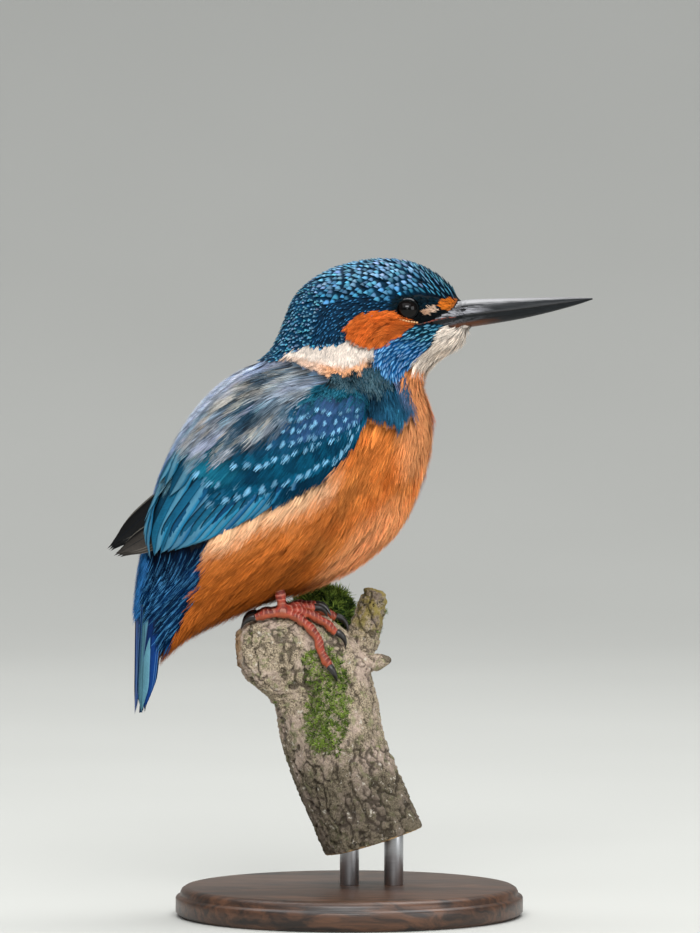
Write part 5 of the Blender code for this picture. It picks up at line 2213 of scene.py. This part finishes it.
# name, place and size in metres, and power of each light
LIGHTS = (
    ("key", (-0.12, -0.85, 0.86), (1.6, 0.8), 6.0),
    ("catch", (-0.02, -1.0, 0.72), (0.62, 0.3), 8.5),
    ("top", (0.1, 0.35, 1.5), (1.6, 1.2), 17.0),
    ("fill", (1.3, -1.0, 0.45), (0.8, 0.8), 8.0),
    ("backdrop", (0.0, 0.6, 2.6), (4.0, 1.0), 42.0),
)


@dataclass
class Studio:
    """Floor, backdrop, soft lights and the camera."""

    view: Triple = (0.2, 0.0, 121.5)
    height: float = 252.0
    distance: float = 1800.0
    elevation: float = 2.0

    def build(self) -> None:
        """Set everything up."""
        scene = bpy.context.scene
        scene.view_settings.view_transform = "Standard"
        turn = np.linspace(-math.pi / 2, 0, 24)
        outline = [(-5.0, 0.0), *((1.2 + 1.6 * math.cos(a), 1.6 + 1.6 * math.sin(a)) for a in turn),
            (2.8, 6.0)]
        points = [(x, y, z) for y, z in outline for x in (-7.0, 7.0)]
        faces = [(2 * i, 2 * i + 1, 2 * i + 3, 2 * i + 2) for i in range(len(outline) - 1)]
        floor = bpy.data.meshes.new("studio_cove")
        floor.from_pydata(points, [], faces)
        m = Material("studio_paper", Roughness=0.95, Specular_IOR_Level=0.1)
        m.set(Base_Color=m.mixed(m.cloud(m.place(), 0.004, 2.0), "#b4b5b1", "#bcbdb9"))
        floor.materials.append(m.made)
        add_object("studio_cove", floor)
        world = bpy.data.worlds.new("studio")
        world.use_nodes = True
        sky = world.node_tree.nodes["Background"].inputs
        sky[0].default_value, sky[1].default_value = (0.8, 0.82, 0.85, 1), 0.34
        scene.world = world
        for light in LIGHTS:
            self.light(*light)
        camera = bpy.data.cameras.new("camera")
        camera.lens = 36.0 * self.distance / self.height
        camera.clip_end = 20.0
        eye = bpy.data.objects.new("camera", camera)
        scene.collection.objects.link(eye)
        target = Vector((self.view[0] * MM, 0.0, self.view[2] * MM))
        lift = math.radians(self.elevation)
        back = Vector((0.0, -math.cos(lift), math.sin(lift)))
        eye.location = target + back * self.distance * MM
        eye.rotation_euler = (-back).to_track_quat("-Z", "Y").to_euler()
        scene.camera = eye

    def light(self, name: str, place: Triple, size: tuple[float, float], power: float) -> None:
        """A wide soft light that faces the bird.

        Args:
            name: The light's name.
            place: Where it stands, in metres.
            size: Its width and height in metres.
            power: Its power in watts.
        """
        lamp = bpy.data.lights.new(name, "AREA")
        lamp.shape, lamp.energy = "RECTANGLE", power
        lamp.size, lamp.size_y = size
        obj = bpy.data.objects.new(name, lamp)
        bpy.context.scene.collection.objects.link(obj)
        obj.location = place
        obj.rotation_euler = (Vector((0, 0, 0.12)) - obj.location).to_track_quat("-Z", "Y").to_euler()


def main() -> None:
    """Build the bird, its perch, the stand and the studio."""
    logging.basicConfig(level=logging.INFO, format="%(message)s")
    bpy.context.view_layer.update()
    form = Form()
    coat = Coat(Skin(form).build())
    Plumage(form, coat).build()
    Wings(form, coat).build()
    Bill(form).build()
    Eyes(form).build()
    Feet().build()
    Perch().build(coat)
    Stand().build()
    Studio().build()


if __name__ == "__main__":
    main()
